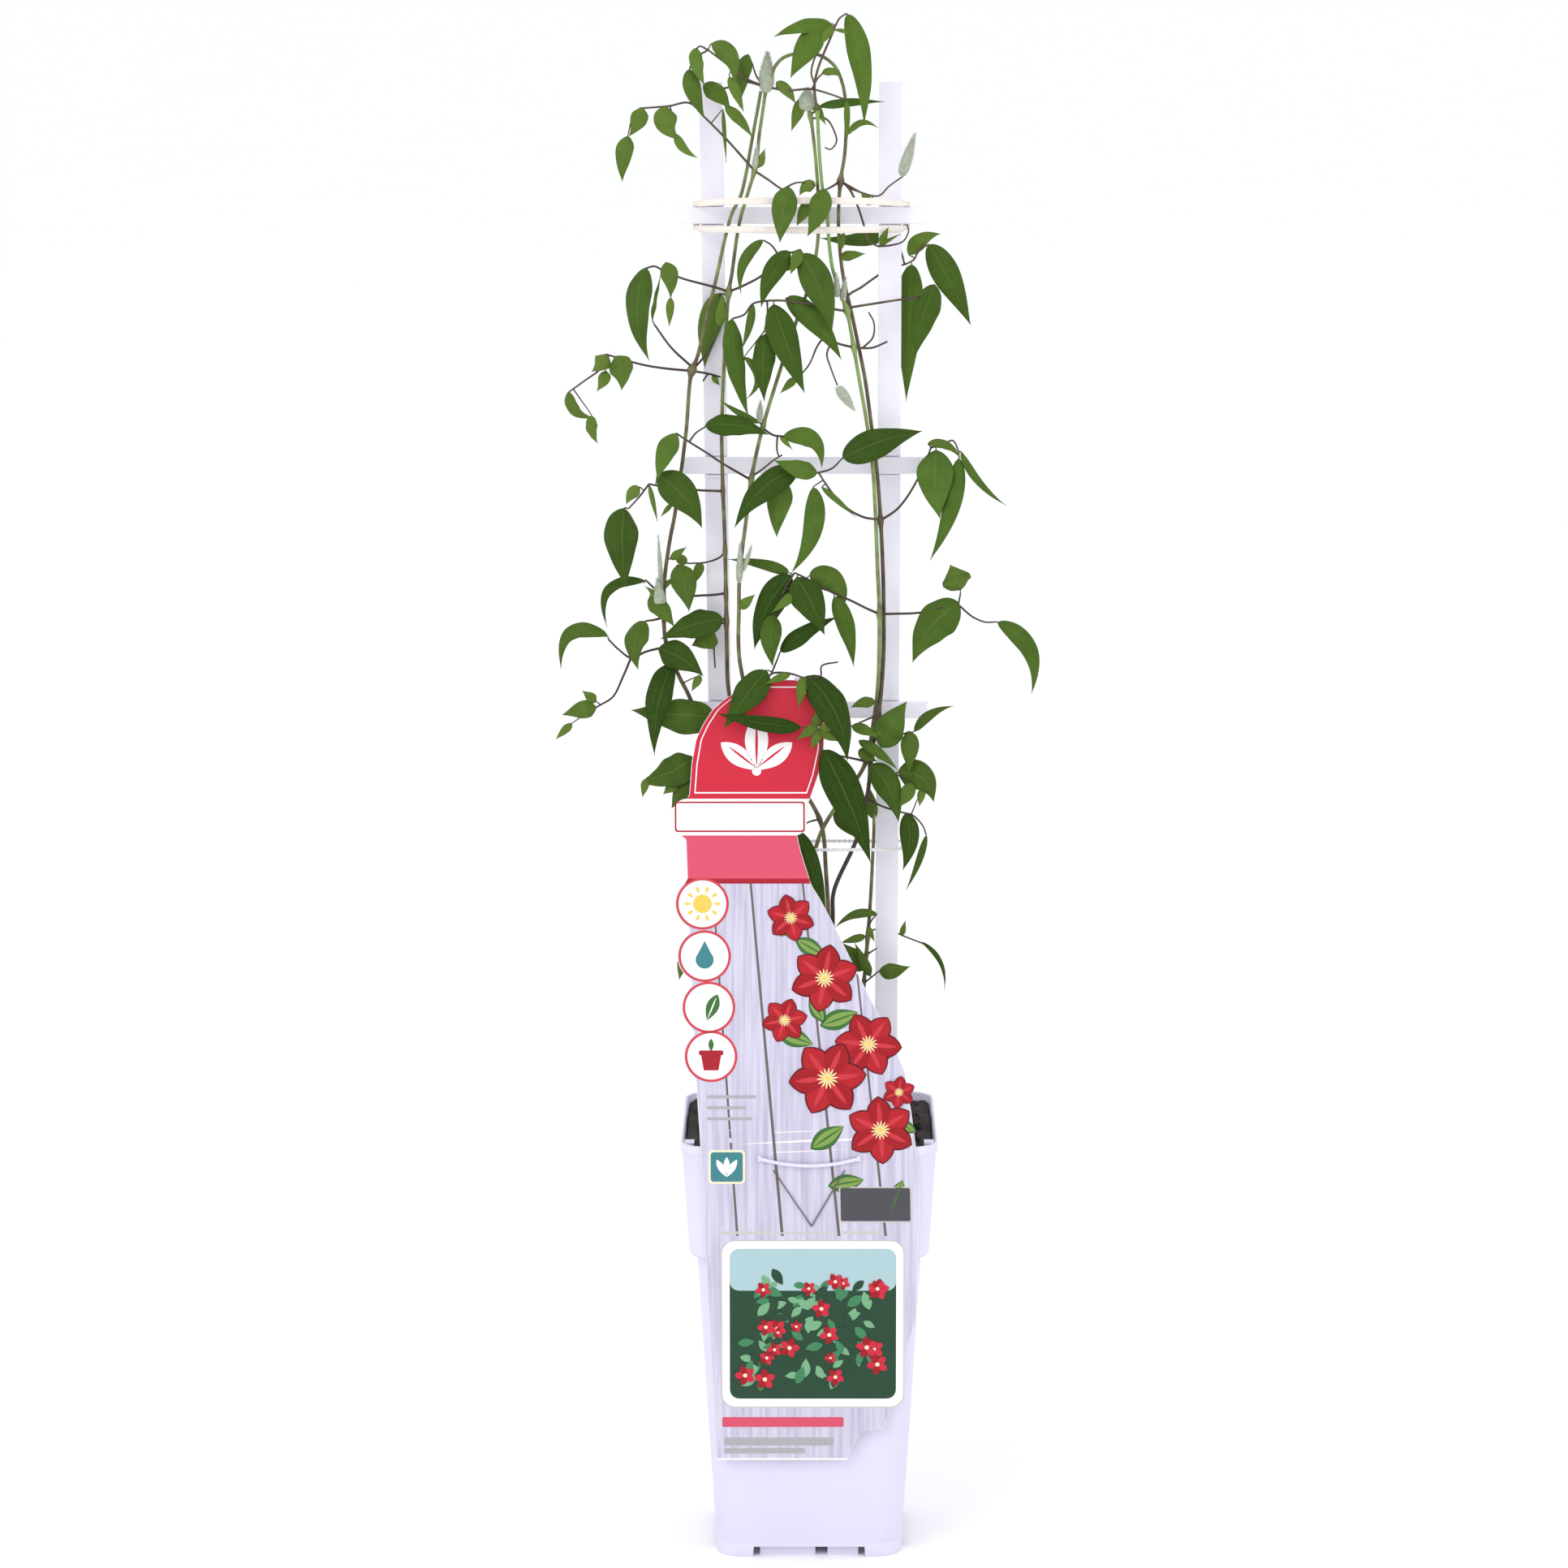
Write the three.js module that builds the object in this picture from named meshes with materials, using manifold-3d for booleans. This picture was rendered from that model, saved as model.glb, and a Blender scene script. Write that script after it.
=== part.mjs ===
// Potted clematis: a young climbing plant in a square nursery pot, tied to a plastic rack.
// Millimetres, +Z up, the front of the pot towards -Y, the origin under the middle of the pot.

import * as THREE from "three";
import { mergeVertices } from "three/addons/utils/BufferGeometryUtils.js";
import Module from "manifold-3d";

const wasm = await Module();
wasm.setup();

// Driving dimensions of the pot
const RIM_HEIGHT = 209;
const COLLAR_BOTTOM = 152;
const RIM_HALF = 61.9;
const COLLAR_TOP_HALF = 61.2;
const COLLAR_FOOT_HALF = 58;
const BODY_TOP_HALF = 54.2;
const BODY_FOOT_HALF = 45;
const WALL = 1.4;
const CORNER_RADIUS = 13;
const NOTCH_HALF = 27;
const NOTCH_HEIGHT = 5;
const FLOOR_TOP = 7;
const STRAP_HALF = 24;
const STRAP_HEIGHT = 204;
const STRAP_FRONT = -64.5;
const STRAP_SAG = 3.6;
const STRAP_RADIUS = 0.9;
const STRAP_LEG_HALF = 0.8;
const STRAP_LEG_RISE = 1.2;
const COLLAR_OVERHANG = 2.6;
const COLLAR_ROUND = 1.8;
const RIM_ROLL = 4.4;
const RIM_EDGE = 0.5;
const EDGE_SOFT = 0.8;
const FOOT_PADS = [[-24, 3], [9, 24]];
const PAD_HALF = 22;
const LUG_FACE = 59.2;
const LUG_REACH = 4;
const LUG_DEPTHS = [-50, -42];
const LUG_HEIGHTS = [205.2, 208.2];

// Driving dimensions of the soil
const SOIL_HEIGHT = 202.5;
const SOIL_GAP = 0.3;
const HOLE_GAP = 0.3;
const STEM_BOTTOM = 150;
const STAKE_BOTTOM = 130;

// Driving dimensions of the rack
const RACK_BOTTOM = 116;
const RACK_TOP = 713;
const UPRIGHT_WIDTH = 11;
const UPRIGHT_FRONT = 6;
const UPRIGHT_BACK = 10;
const LEFT_TOP = -47;
const LEFT_BOTTOM = -40;
const RIGHT_TOP = 39;
const RIGHT_BOTTOM = 37.5;
const BAR_LENGTH = 117;
const BAR_HEIGHT = 8;
const BAR_THICKNESS = 3;
const BAR_PLACES = [[-2.7, 650], [-2.1, 530], [-1, 411]];
const CLIP_HEIGHT = 1.6;
const CLIP_GAP = 0.5;
const CLIP_PROUD = 1.2;
const CLIP_INSET = 0.6;

// Driving dimensions of the ties and the stake
const BAND_RADIUS = 1;
const BAND_FRONT = -8.4;
const BAND_BACK = 7.6;
const BAND_LEFT = -54;
const BAND_RIGHT = 46.5;
const BAND_RISE = 6.6;
const RING_RADIUS = 0.9;
const RING_HEIGHT = 345;
const RING_LEFT = -49.8;
const RING_RIGHT = 45.5;
const RING_FRONT = -12.5;
const RING_BACK = 11.6;
const RING_FRONT_CORNER = 8;
const RING_BACK_CORNER = 1.4;
const STAKE_WIDTH = 4.4;
const STAKE_THICKNESS = 1.4;
const STAKE_CENTRE = [-5, -14.5];
const STAKE_TOP = 429.6;

// Driving dimensions of the label and the plant
const LABEL_THICKNESS = 0.6;
const BLADE_THICKNESS = 0.7;
const STEM_RADIUS = 1.15;
const FINE_RADIUS = 0.5;
const SLOT_HALF = 1.3;
const SLOT_BELOW = 4.2;
const SLOT_ABOVE = 1.7;

// Colours, and how rough each surface is
const POT_WHITE = 0xebe6f6;
const RACK_WHITE = 0xf1eff4;
const LABEL_WHITE = 0xe9e4e2;
const WIRE_WHITE = 0xf0eef2;
const BAND_CREAM = 0xece3dc;
const PEAT_BROWN = 0x2b211c;
const MOULDED = 0.5;
const POT_SATIN = 0.55;
const FILM = 0.4;
const RUBBER = 0.7;
const TWISTED = 0.6;
const LEAF_WAX = 0.6;
const CRUMBLY = 0.95;

// The photograph's viewpoint: a place given as seen from the front is x, z on the plane y = 0
// and slides along the sight line to its own depth y.
const EYE_DISTANCE = 2600;
const EYE_HEIGHT = 805;

function seen(x, z, y) {
  const t = (y + EYE_DISTANCE) / EYE_DISTANCE;
  return new THREE.Vector3(x * t, y, EYE_HEIGHT + (z - EYE_HEIGHT) * t);
}

// Solids from geometry and back
function solid(geometry) {
  const bare = geometry.clone();
  bare.deleteAttribute("normal");
  bare.deleteAttribute("uv");
  const merged = mergeVertices(bare, 1e-4);
  const mesh = new wasm.Mesh({
    numProp: 3,
    vertProperties: new Float32Array(merged.attributes.position.array),
    triVerts: new Uint32Array(merged.index.array),
  });
  return new wasm.Manifold(mesh);
}

function geometryOf(manifold) {
  const mesh = manifold.getMesh();
  const geometry = new THREE.BufferGeometry();
  geometry.setAttribute("position", new THREE.BufferAttribute(mesh.vertProperties, 3));
  geometry.setIndex(new THREE.BufferAttribute(mesh.triVerts, 1));
  return geometry;
}

function facesSolid(points, triangles) {
  const geometry = new THREE.BufferGeometry();
  const positions = points.flatMap((p) => [p.x, p.y, p.z]);
  geometry.setAttribute("position", new THREE.Float32BufferAttribute(positions, 3));
  geometry.setIndex(triangles);
  const mesh = new wasm.Mesh({
    numProp: 3,
    vertProperties: new Float32Array(geometry.attributes.position.array),
    triVerts: new Uint32Array(geometry.index.array),
  });
  return new wasm.Manifold(mesh);
}

function box(x0, x1, y0, y1, z0, z1) {
  const geometry = new THREE.BoxGeometry(x1 - x0, y1 - y0, z1 - z0);
  geometry.translate((x0 + x1) / 2, (y0 + y1) / 2, (z0 + z1) / 2);
  return solid(geometry);
}

// A drawing in the XZ plane, extruded along Y from y0 to y1
function plate(outline, y0, y1) {
  const shape = new THREE.Shape(outline.map(([x, z]) => new THREE.Vector2(x, z)));
  const geometry = new THREE.ExtrudeGeometry(shape, { depth: y1 - y0, bevelEnabled: false });
  geometry.rotateX(Math.PI / 2);
  geometry.translate(0, y1, 0);
  return solid(geometry);
}

// A round-cornered square ring of points at one height
function squareRing(half, radius, height, perCorner = 4) {
  const points = [];
  const centre = half - radius;
  for (let corner = 0; corner < 4; corner += 1) {
    const sx = corner === 0 || corner === 3 ? 1 : -1;
    const sy = corner < 2 ? 1 : -1;
    for (let i = 0; i <= perCorner; i += 1) {
      const angle = (corner + i / perCorner) * (Math.PI / 2);
      const x = sx * centre + radius * Math.cos(angle);
      const y = sy * centre + radius * Math.sin(angle);
      points.push(new THREE.Vector3(x, y, height));
    }
  }
  return points;
}

// A closed solid through rings of points, capped at the first and the last
function loft(rings) {
  const count = rings[0].length;
  const points = rings.flat();
  const triangles = [];
  for (let ring = 0; ring < rings.length - 1; ring += 1) {
    for (let i = 0; i < count; i += 1) {
      const a = ring * count + i;
      const b = ring * count + ((i + 1) % count);
      triangles.push(a, b, b + count, a, b + count, a + count);
    }
  }
  const middle = (ring) => ring.reduce((sum, p) => sum.add(p), new THREE.Vector3()).divideScalar(count);
  const low = points.length;
  points.push(middle(rings[0]));
  const high = points.length;
  points.push(middle(rings[rings.length - 1]));
  const top = (rings.length - 1) * count;
  for (let i = 0; i < count; i += 1) {
    const next = (i + 1) % count;
    triangles.push(low, next, i, high, top + i, top + next);
  }
  return facesSolid(points, triangles);
}

// A smooth curve through points, and how many straight steps it is built with
function curveOf(points) {
  if (points.length === 2) return new THREE.LineCurve3(points[0], points[1]);
  return new THREE.CatmullRomCurve3(points);
}

function stepsOf(curve, stepLength) {
  if (curve.isLineCurve3) return 1;
  return Math.max(2, Math.ceil(curve.getLength() / stepLength));
}

// A round bar of the given number of sides along a curve
function tube(points, radius, sides, stepLength) {
  const curve = curveOf(points);
  const section = new THREE.Shape();
  for (let i = 0; i < sides; i += 1) {
    const angle = (i / sides) * Math.PI * 2;
    const x = radius * Math.cos(angle);
    const y = radius * Math.sin(angle);
    if (i === 0) section.moveTo(x, y);
    else section.lineTo(x, y);
  }
  const steps = stepsOf(curve, stepLength);
  const options = { steps, extrudePath: curve, bevelEnabled: false, curveSegments: 1 };
  return solid(new THREE.ExtrudeGeometry(section, options));
}

function closedTube(points, radius, sides, steps) {
  const rings = [];
  const curve = new THREE.CatmullRomCurve3(points, true, "catmullrom", 0.3);
  const frames = curve.computeFrenetFrames(steps, true);
  for (let i = 0; i < steps; i += 1) {
    const centre = curve.getPointAt(i / steps);
    const ring = [];
    for (let j = 0; j < sides; j += 1) {
      const angle = (j / sides) * Math.PI * 2;
      const p = centre.clone();
      p.addScaledVector(frames.normals[i], radius * Math.cos(angle));
      p.addScaledVector(frames.binormals[i], radius * Math.sin(angle));
      ring.push(p);
    }
    rings.push(ring);
  }
  const triangles = [];
  for (let i = 0; i < steps; i += 1) {
    for (let j = 0; j < sides; j += 1) {
      const a = i * sides + j;
      const b = i * sides + ((j + 1) % sides);
      const c = ((i + 1) % steps) * sides + ((j + 1) % sides);
      const d = ((i + 1) % steps) * sides + j;
      triangles.push(a, b, c, a, c, d);
    }
  }
  return facesSolid(rings.flat(), triangles);
}

const group = new THREE.Group();
group.name = "potted_clematis";

function addPiece(name, manifold, colour, roughness) {
  const material = new THREE.MeshStandardMaterial({ color: colour, roughness, metalness: 0 });
  const mesh = new THREE.Mesh(geometryOf(manifold), material);
  mesh.name = name;
  group.add(mesh);
}

// Pot: square shell with a wider collar, a rolled rim and feet between four notches
const outerRings = [
  squareRing(BODY_FOOT_HALF, CORNER_RADIUS, 0),
  squareRing(BODY_TOP_HALF, CORNER_RADIUS, COLLAR_BOTTOM - EDGE_SOFT),
  squareRing(BODY_TOP_HALF + COLLAR_OVERHANG, CORNER_RADIUS, COLLAR_BOTTOM),
  squareRing(COLLAR_FOOT_HALF, CORNER_RADIUS, COLLAR_BOTTOM + COLLAR_ROUND),
  squareRing(COLLAR_TOP_HALF, CORNER_RADIUS, RIM_HEIGHT - RIM_ROLL - EDGE_SOFT),
  squareRing(RIM_HALF, CORNER_RADIUS, RIM_HEIGHT - RIM_ROLL),
  squareRing(RIM_HALF, CORNER_RADIUS, RIM_HEIGHT - RIM_EDGE),
  squareRing(RIM_HALF - RIM_EDGE, CORNER_RADIUS, RIM_HEIGHT),
];
const innerRings = [
  squareRing(BODY_FOOT_HALF - WALL, CORNER_RADIUS - WALL, FLOOR_TOP),
  squareRing(BODY_TOP_HALF - WALL, CORNER_RADIUS - WALL, COLLAR_BOTTOM + WALL - EDGE_SOFT),
  squareRing(COLLAR_FOOT_HALF - WALL, CORNER_RADIUS - WALL, COLLAR_BOTTOM + COLLAR_ROUND + EDGE_SOFT),
  squareRing(COLLAR_TOP_HALF - WALL, CORNER_RADIUS - WALL, RIM_HEIGHT + 1),
];
const underRings = [
  squareRing(BODY_FOOT_HALF - WALL, CORNER_RADIUS - WALL, -1),
  squareRing(BODY_FOOT_HALF - WALL, CORNER_RADIUS - WALL, NOTCH_HEIGHT),
];
const far = RIM_HALF + 10;
let pot = loft(outerRings).subtract(loft(innerRings)).subtract(loft(underRings));
pot = pot.subtract(box(-NOTCH_HALF, NOTCH_HALF, -far, far, -1, NOTCH_HEIGHT));
pot = pot.subtract(box(-far, far, -NOTCH_HALF, NOTCH_HALF, -1, NOTCH_HEIGHT));
for (const [left, right] of FOOT_PADS) {
  pot = pot.add(box(left, right, -PAD_HALF, PAD_HALF, 0, NOTCH_HEIGHT + 1));
}

// Small lugs inside the collar's side walls
for (const sign of [-1, 1]) {
  const inner = sign * (LUG_FACE - LUG_REACH);
  const outer = sign * (LUG_FACE + 1);
  pot = pot.add(box(Math.min(inner, outer), Math.max(inner, outer), ...LUG_DEPTHS, ...LUG_HEIGHTS));
}

// Curved label strap: two legs out of the rim and a bowed bar in front of the label
const STRAP_STATIONS = 8;
const STRAP_SIDES = 6;
const STRAP_STEP = 6.2;
const strapRoute = [];
for (let i = 0; i <= STRAP_STATIONS; i += 1) {
  const u = (2 * i) / STRAP_STATIONS - 1;
  strapRoute.push(new THREE.Vector3(u * STRAP_HALF, STRAP_FRONT, STRAP_HEIGHT - STRAP_SAG * (1 - u * u)));
}
pot = pot.add(tube(strapRoute, STRAP_RADIUS, STRAP_SIDES, STRAP_STEP));
const strapLegs = [-1, 1].map((sign) => sign * (STRAP_HALF - 0.2));
for (const x of strapLegs) {
  const front = STRAP_FRONT - 0.6;
  const back = -COLLAR_TOP_HALF + EDGE_SOFT;
  const [low, high] = [STRAP_HEIGHT - STRAP_LEG_RISE, STRAP_HEIGHT + STRAP_LEG_RISE];
  pot = pot.add(box(x - STRAP_LEG_HALF, x + STRAP_LEG_HALF, front, back, low, high));
}
addPiece("pot", pot, POT_WHITE, POT_SATIN);

// Label: one plastic sheet, hanging before the collar and leaning back above the rim
const LABEL_SIDE = [
  [36, -52.1], [150, -59.2], [196, -62.1], [214, -62.9], [240, -57.6], [290, -45.6],
  [345, -34.4], [389, -24.3], [405, -20.6], [426, -15.9], [432, -14.8],
];
const LABEL_LEFT = [
  [-46, 36], [-51, 140], [-53.7, 200], [-55, 221], [-55.3, 228], [-56, 252], [-57.3, 277],
  [-58.3, 303], [-59.3, 328], [-60, 350.6], [-66.5, 351.2], [-65.6, 359], [-64.3, 367], [-59, 367.4],
  [-57.1, 385], [-55, 397], [-51.7, 404], [-47, 411.5], [-40.3, 417.3], [-30.5, 423],
  [-22.4, 425.8], [-12.6, 426.4], [-6, 426],
];
const LABEL_RIGHT = [
  [-1.2, 423], [2, 419], [6, 411], [7.5, 402], [7, 392], [4.5, 380], [0.5, 368], [-0.5, 364.5],
  [-1.5, 351.5], [-5.9, 350], [-4, 341.6], [1.2, 325], [5, 319], [10.8, 308], [22, 285],
  [33, 262.6], [39.5, 250], [46.7, 232.6], [50, 213], [52.4, 194], [54, 177.5], [54.5, 159],
  [52.9, 138], [52.8, 108], [37, 51], [26.2, 51], [19.4, 38],
];
const LOBE_RADIUS = 13.3;
const LOBES = [[-52, 316], [-51, 290], [-49, 264.5], [-48, 240]];
const LOBE_SIDES = 20;
const CUTTER_DEPTHS = [-90, 10];
const SHEET_HALF = 100;

function labelDepth(z) {
  let i = 1;
  while (i < LABEL_SIDE.length - 1 && LABEL_SIDE[i][0] < z) i += 1;
  const [z0, y0] = LABEL_SIDE[i - 1];
  const [z1, y1] = LABEL_SIDE[i];
  return y0 + ((y1 - y0) * (z - z0)) / (z1 - z0);
}

// A point of the label's outline, moved from where it is seen to where it stands
function labelPoint([x, z]) {
  let p = seen(x, z, labelDepth(z));
  for (let i = 0; i < 4; i += 1) p = seen(x, z, labelDepth(p.z));
  return [p.x, p.z];
}

const sheetSide = [
  ...LABEL_SIDE.map(([z, y]) => [y, z]),
  ...LABEL_SIDE.map(([z, y]) => [y - LABEL_THICKNESS, z]).reverse(),
];
const sideShape = new THREE.Shape(sheetSide.map(([y, z]) => new THREE.Vector2(y, z)));
const sheetGeometry = new THREE.ExtrudeGeometry(sideShape, { depth: 2 * SHEET_HALF, bevelEnabled: false });
sheetGeometry.rotateX(Math.PI / 2);
sheetGeometry.rotateZ(Math.PI / 2);
sheetGeometry.translate(-SHEET_HALF, 0, 0);
const sheet = solid(sheetGeometry);
let cutter = plate([...LABEL_LEFT, ...LABEL_RIGHT].map(labelPoint), ...CUTTER_DEPTHS);
for (const [cx, cz] of LOBES) {
  const round = [];
  for (let i = 0; i < LOBE_SIDES; i += 1) {
    const angle = (i / LOBE_SIDES) * Math.PI * 2;
    round.push(labelPoint([cx + LOBE_RADIUS * Math.cos(angle), cz + LOBE_RADIUS * Math.sin(angle)]));
  }
  cutter = cutter.add(plate(round, ...CUTTER_DEPTHS));
}
let label = sheet.intersect(cutter);
for (const x of strapLegs) {
  const [low, high] = [STRAP_HEIGHT - SLOT_BELOW, STRAP_HEIGHT + SLOT_ABOVE];
  label = label.subtract(box(x - SLOT_HALF, x + SLOT_HALF, ...CUTTER_DEPTHS, low, high));
}
addPiece("label", label, LABEL_WHITE, FILM);

// Rack: two flat uprights, and three bars that lie on the front of them
function uprightAt(z, top, bottom) {
  return bottom + ((top - bottom) * (z - RACK_BOTTOM)) / (RACK_TOP - RACK_BOTTOM);
}

function uprightOutline(top, bottom, grow) {
  const half = UPRIGHT_WIDTH / 2 + grow;
  const foot = RACK_BOTTOM - grow;
  return [[bottom - half, foot], [bottom + half, foot], [top + half, RACK_TOP], [top - half, RACK_TOP]];
}

function upright(top, bottom) {
  const half = UPRIGHT_WIDTH / 2 - CLIP_INSET;
  const reach = BAR_HEIGHT / 2 + CLIP_GAP;
  const depths = [UPRIGHT_FRONT - CLIP_PROUD, UPRIGHT_FRONT + CLIP_GAP];
  let post = plate(uprightOutline(top, bottom, 0), UPRIGHT_FRONT, UPRIGHT_BACK);
  for (const [, z] of BAR_PLACES) {
    const x = uprightAt(z, top, bottom);
    for (const edge of [z - reach - CLIP_HEIGHT, z + reach]) {
      post = post.add(box(x - half, x + half, ...depths, edge, edge + CLIP_HEIGHT));
    }
  }
  return post;
}

addPiece("upright_left", upright(LEFT_TOP, LEFT_BOTTOM), RACK_WHITE, MOULDED);
addPiece("upright_right", upright(RIGHT_TOP, RIGHT_BOTTOM), RACK_WHITE, MOULDED);
const BAR_NAMES = ["crossbar_top", "crossbar_middle", "crossbar_low"];
BAR_PLACES.forEach(([x, z], i) => {
  const [halfLength, halfHeight] = [BAR_LENGTH / 2, BAR_HEIGHT / 2];
  const depths = [UPRIGHT_FRONT - BAR_THICKNESS, UPRIGHT_FRONT];
  const bar = box(x - halfLength, x + halfLength, ...depths, z - halfHeight, z + halfHeight);
  addPiece(BAR_NAMES[i], bar, RACK_WHITE, MOULDED);
});

// Elastic band: one loop, hooked behind the top bar's two ends, both runs in front of the stems
const bandZ = BAR_PLACES[0][1];
const bandHalf = [
  [BAND_LEFT, BAND_BACK - 0.1, 4.2], [BAND_LEFT, 6.2, 5.9], [BAND_LEFT, 2, 6],
  [BAND_LEFT + 4, -3, 6.2], [BAND_LEFT + 14, BAND_FRONT, BAND_RISE],
  [BAND_LEFT + 40, BAND_FRONT, BAND_RISE + 0.4], [BAND_RIGHT - 38, BAND_FRONT, BAND_RISE + 0.4],
  [BAND_RIGHT - 14, BAND_FRONT, BAND_RISE], [BAND_RIGHT - 4, -3, 6.2],
  [BAND_RIGHT, 2, 6], [BAND_RIGHT, 6.2, 5.9], [BAND_RIGHT, BAND_BACK - 0.1, 4.2],
];
const bandRoute = [
  [BAND_LEFT, BAND_BACK, bandZ], ...bandHalf.map(([x, y, rise]) => [x, y, bandZ + rise]),
  [BAND_RIGHT, BAND_BACK, bandZ], ...bandHalf.map(([x, y, rise]) => [x, y, bandZ - rise]).reverse(),
].map(([x, y, z]) => new THREE.Vector3(x, y, z));
const BAND_SIDES = 5;
const BAND_STEPS = 56;
addPiece("elastic_band", closedTube(bandRoute, BAND_RADIUS, BAND_SIDES, BAND_STEPS), BAND_CREAM, RUBBER);

// Wire ring: a twisted wire tie round both uprights and all the stems
function ringOutline(grow) {
  const [x0, x1] = [RING_LEFT - grow, RING_RIGHT + grow];
  const [y0, y1] = [RING_FRONT - grow, RING_BACK + grow];
  const frontRadius = RING_FRONT_CORNER + grow;
  const backRadius = RING_BACK_CORNER + grow;
  const corners = [
    [x1 - frontRadius, y0 + frontRadius, frontRadius, -90],
    [x1 - backRadius, y1 - backRadius, backRadius, 0],
    [x0 + backRadius, y1 - backRadius, backRadius, 90],
    [x0 + frontRadius, y0 + frontRadius, frontRadius, 180],
  ];
  const points = [];
  for (const [cx, cy, radius, start] of corners) {
    for (let i = 0; i <= 4; i += 1) {
      const angle = THREE.MathUtils.degToRad(start + (i * 90) / 4);
      points.push(new THREE.Vector2(cx + radius * Math.cos(angle), cy + radius * Math.sin(angle)));
    }
  }
  return points;
}

const ringShape = new THREE.Shape(ringOutline(RING_RADIUS));
ringShape.holes.push(new THREE.Path(ringOutline(-RING_RADIUS)));
const ringGeometry = new THREE.ExtrudeGeometry(ringShape, { depth: RING_RADIUS * 2, bevelEnabled: false });
ringGeometry.translate(0, 0, RING_HEIGHT - RING_RADIUS);
addPiece("wire_ring", solid(ringGeometry), WIRE_WHITE, TWISTED);

// Stake: a thin flat stick behind the label
const [stakeX, stakeY] = STAKE_CENTRE;
const stakeEdges = [
  stakeX - STAKE_WIDTH / 2, stakeX + STAKE_WIDTH / 2,
  stakeY - STAKE_THICKNESS / 2, stakeY + STAKE_THICKNESS / 2,
];
addPiece("stake", box(...stakeEdges, STAKE_BOTTOM, STAKE_TOP), RACK_WHITE, MOULDED);

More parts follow.
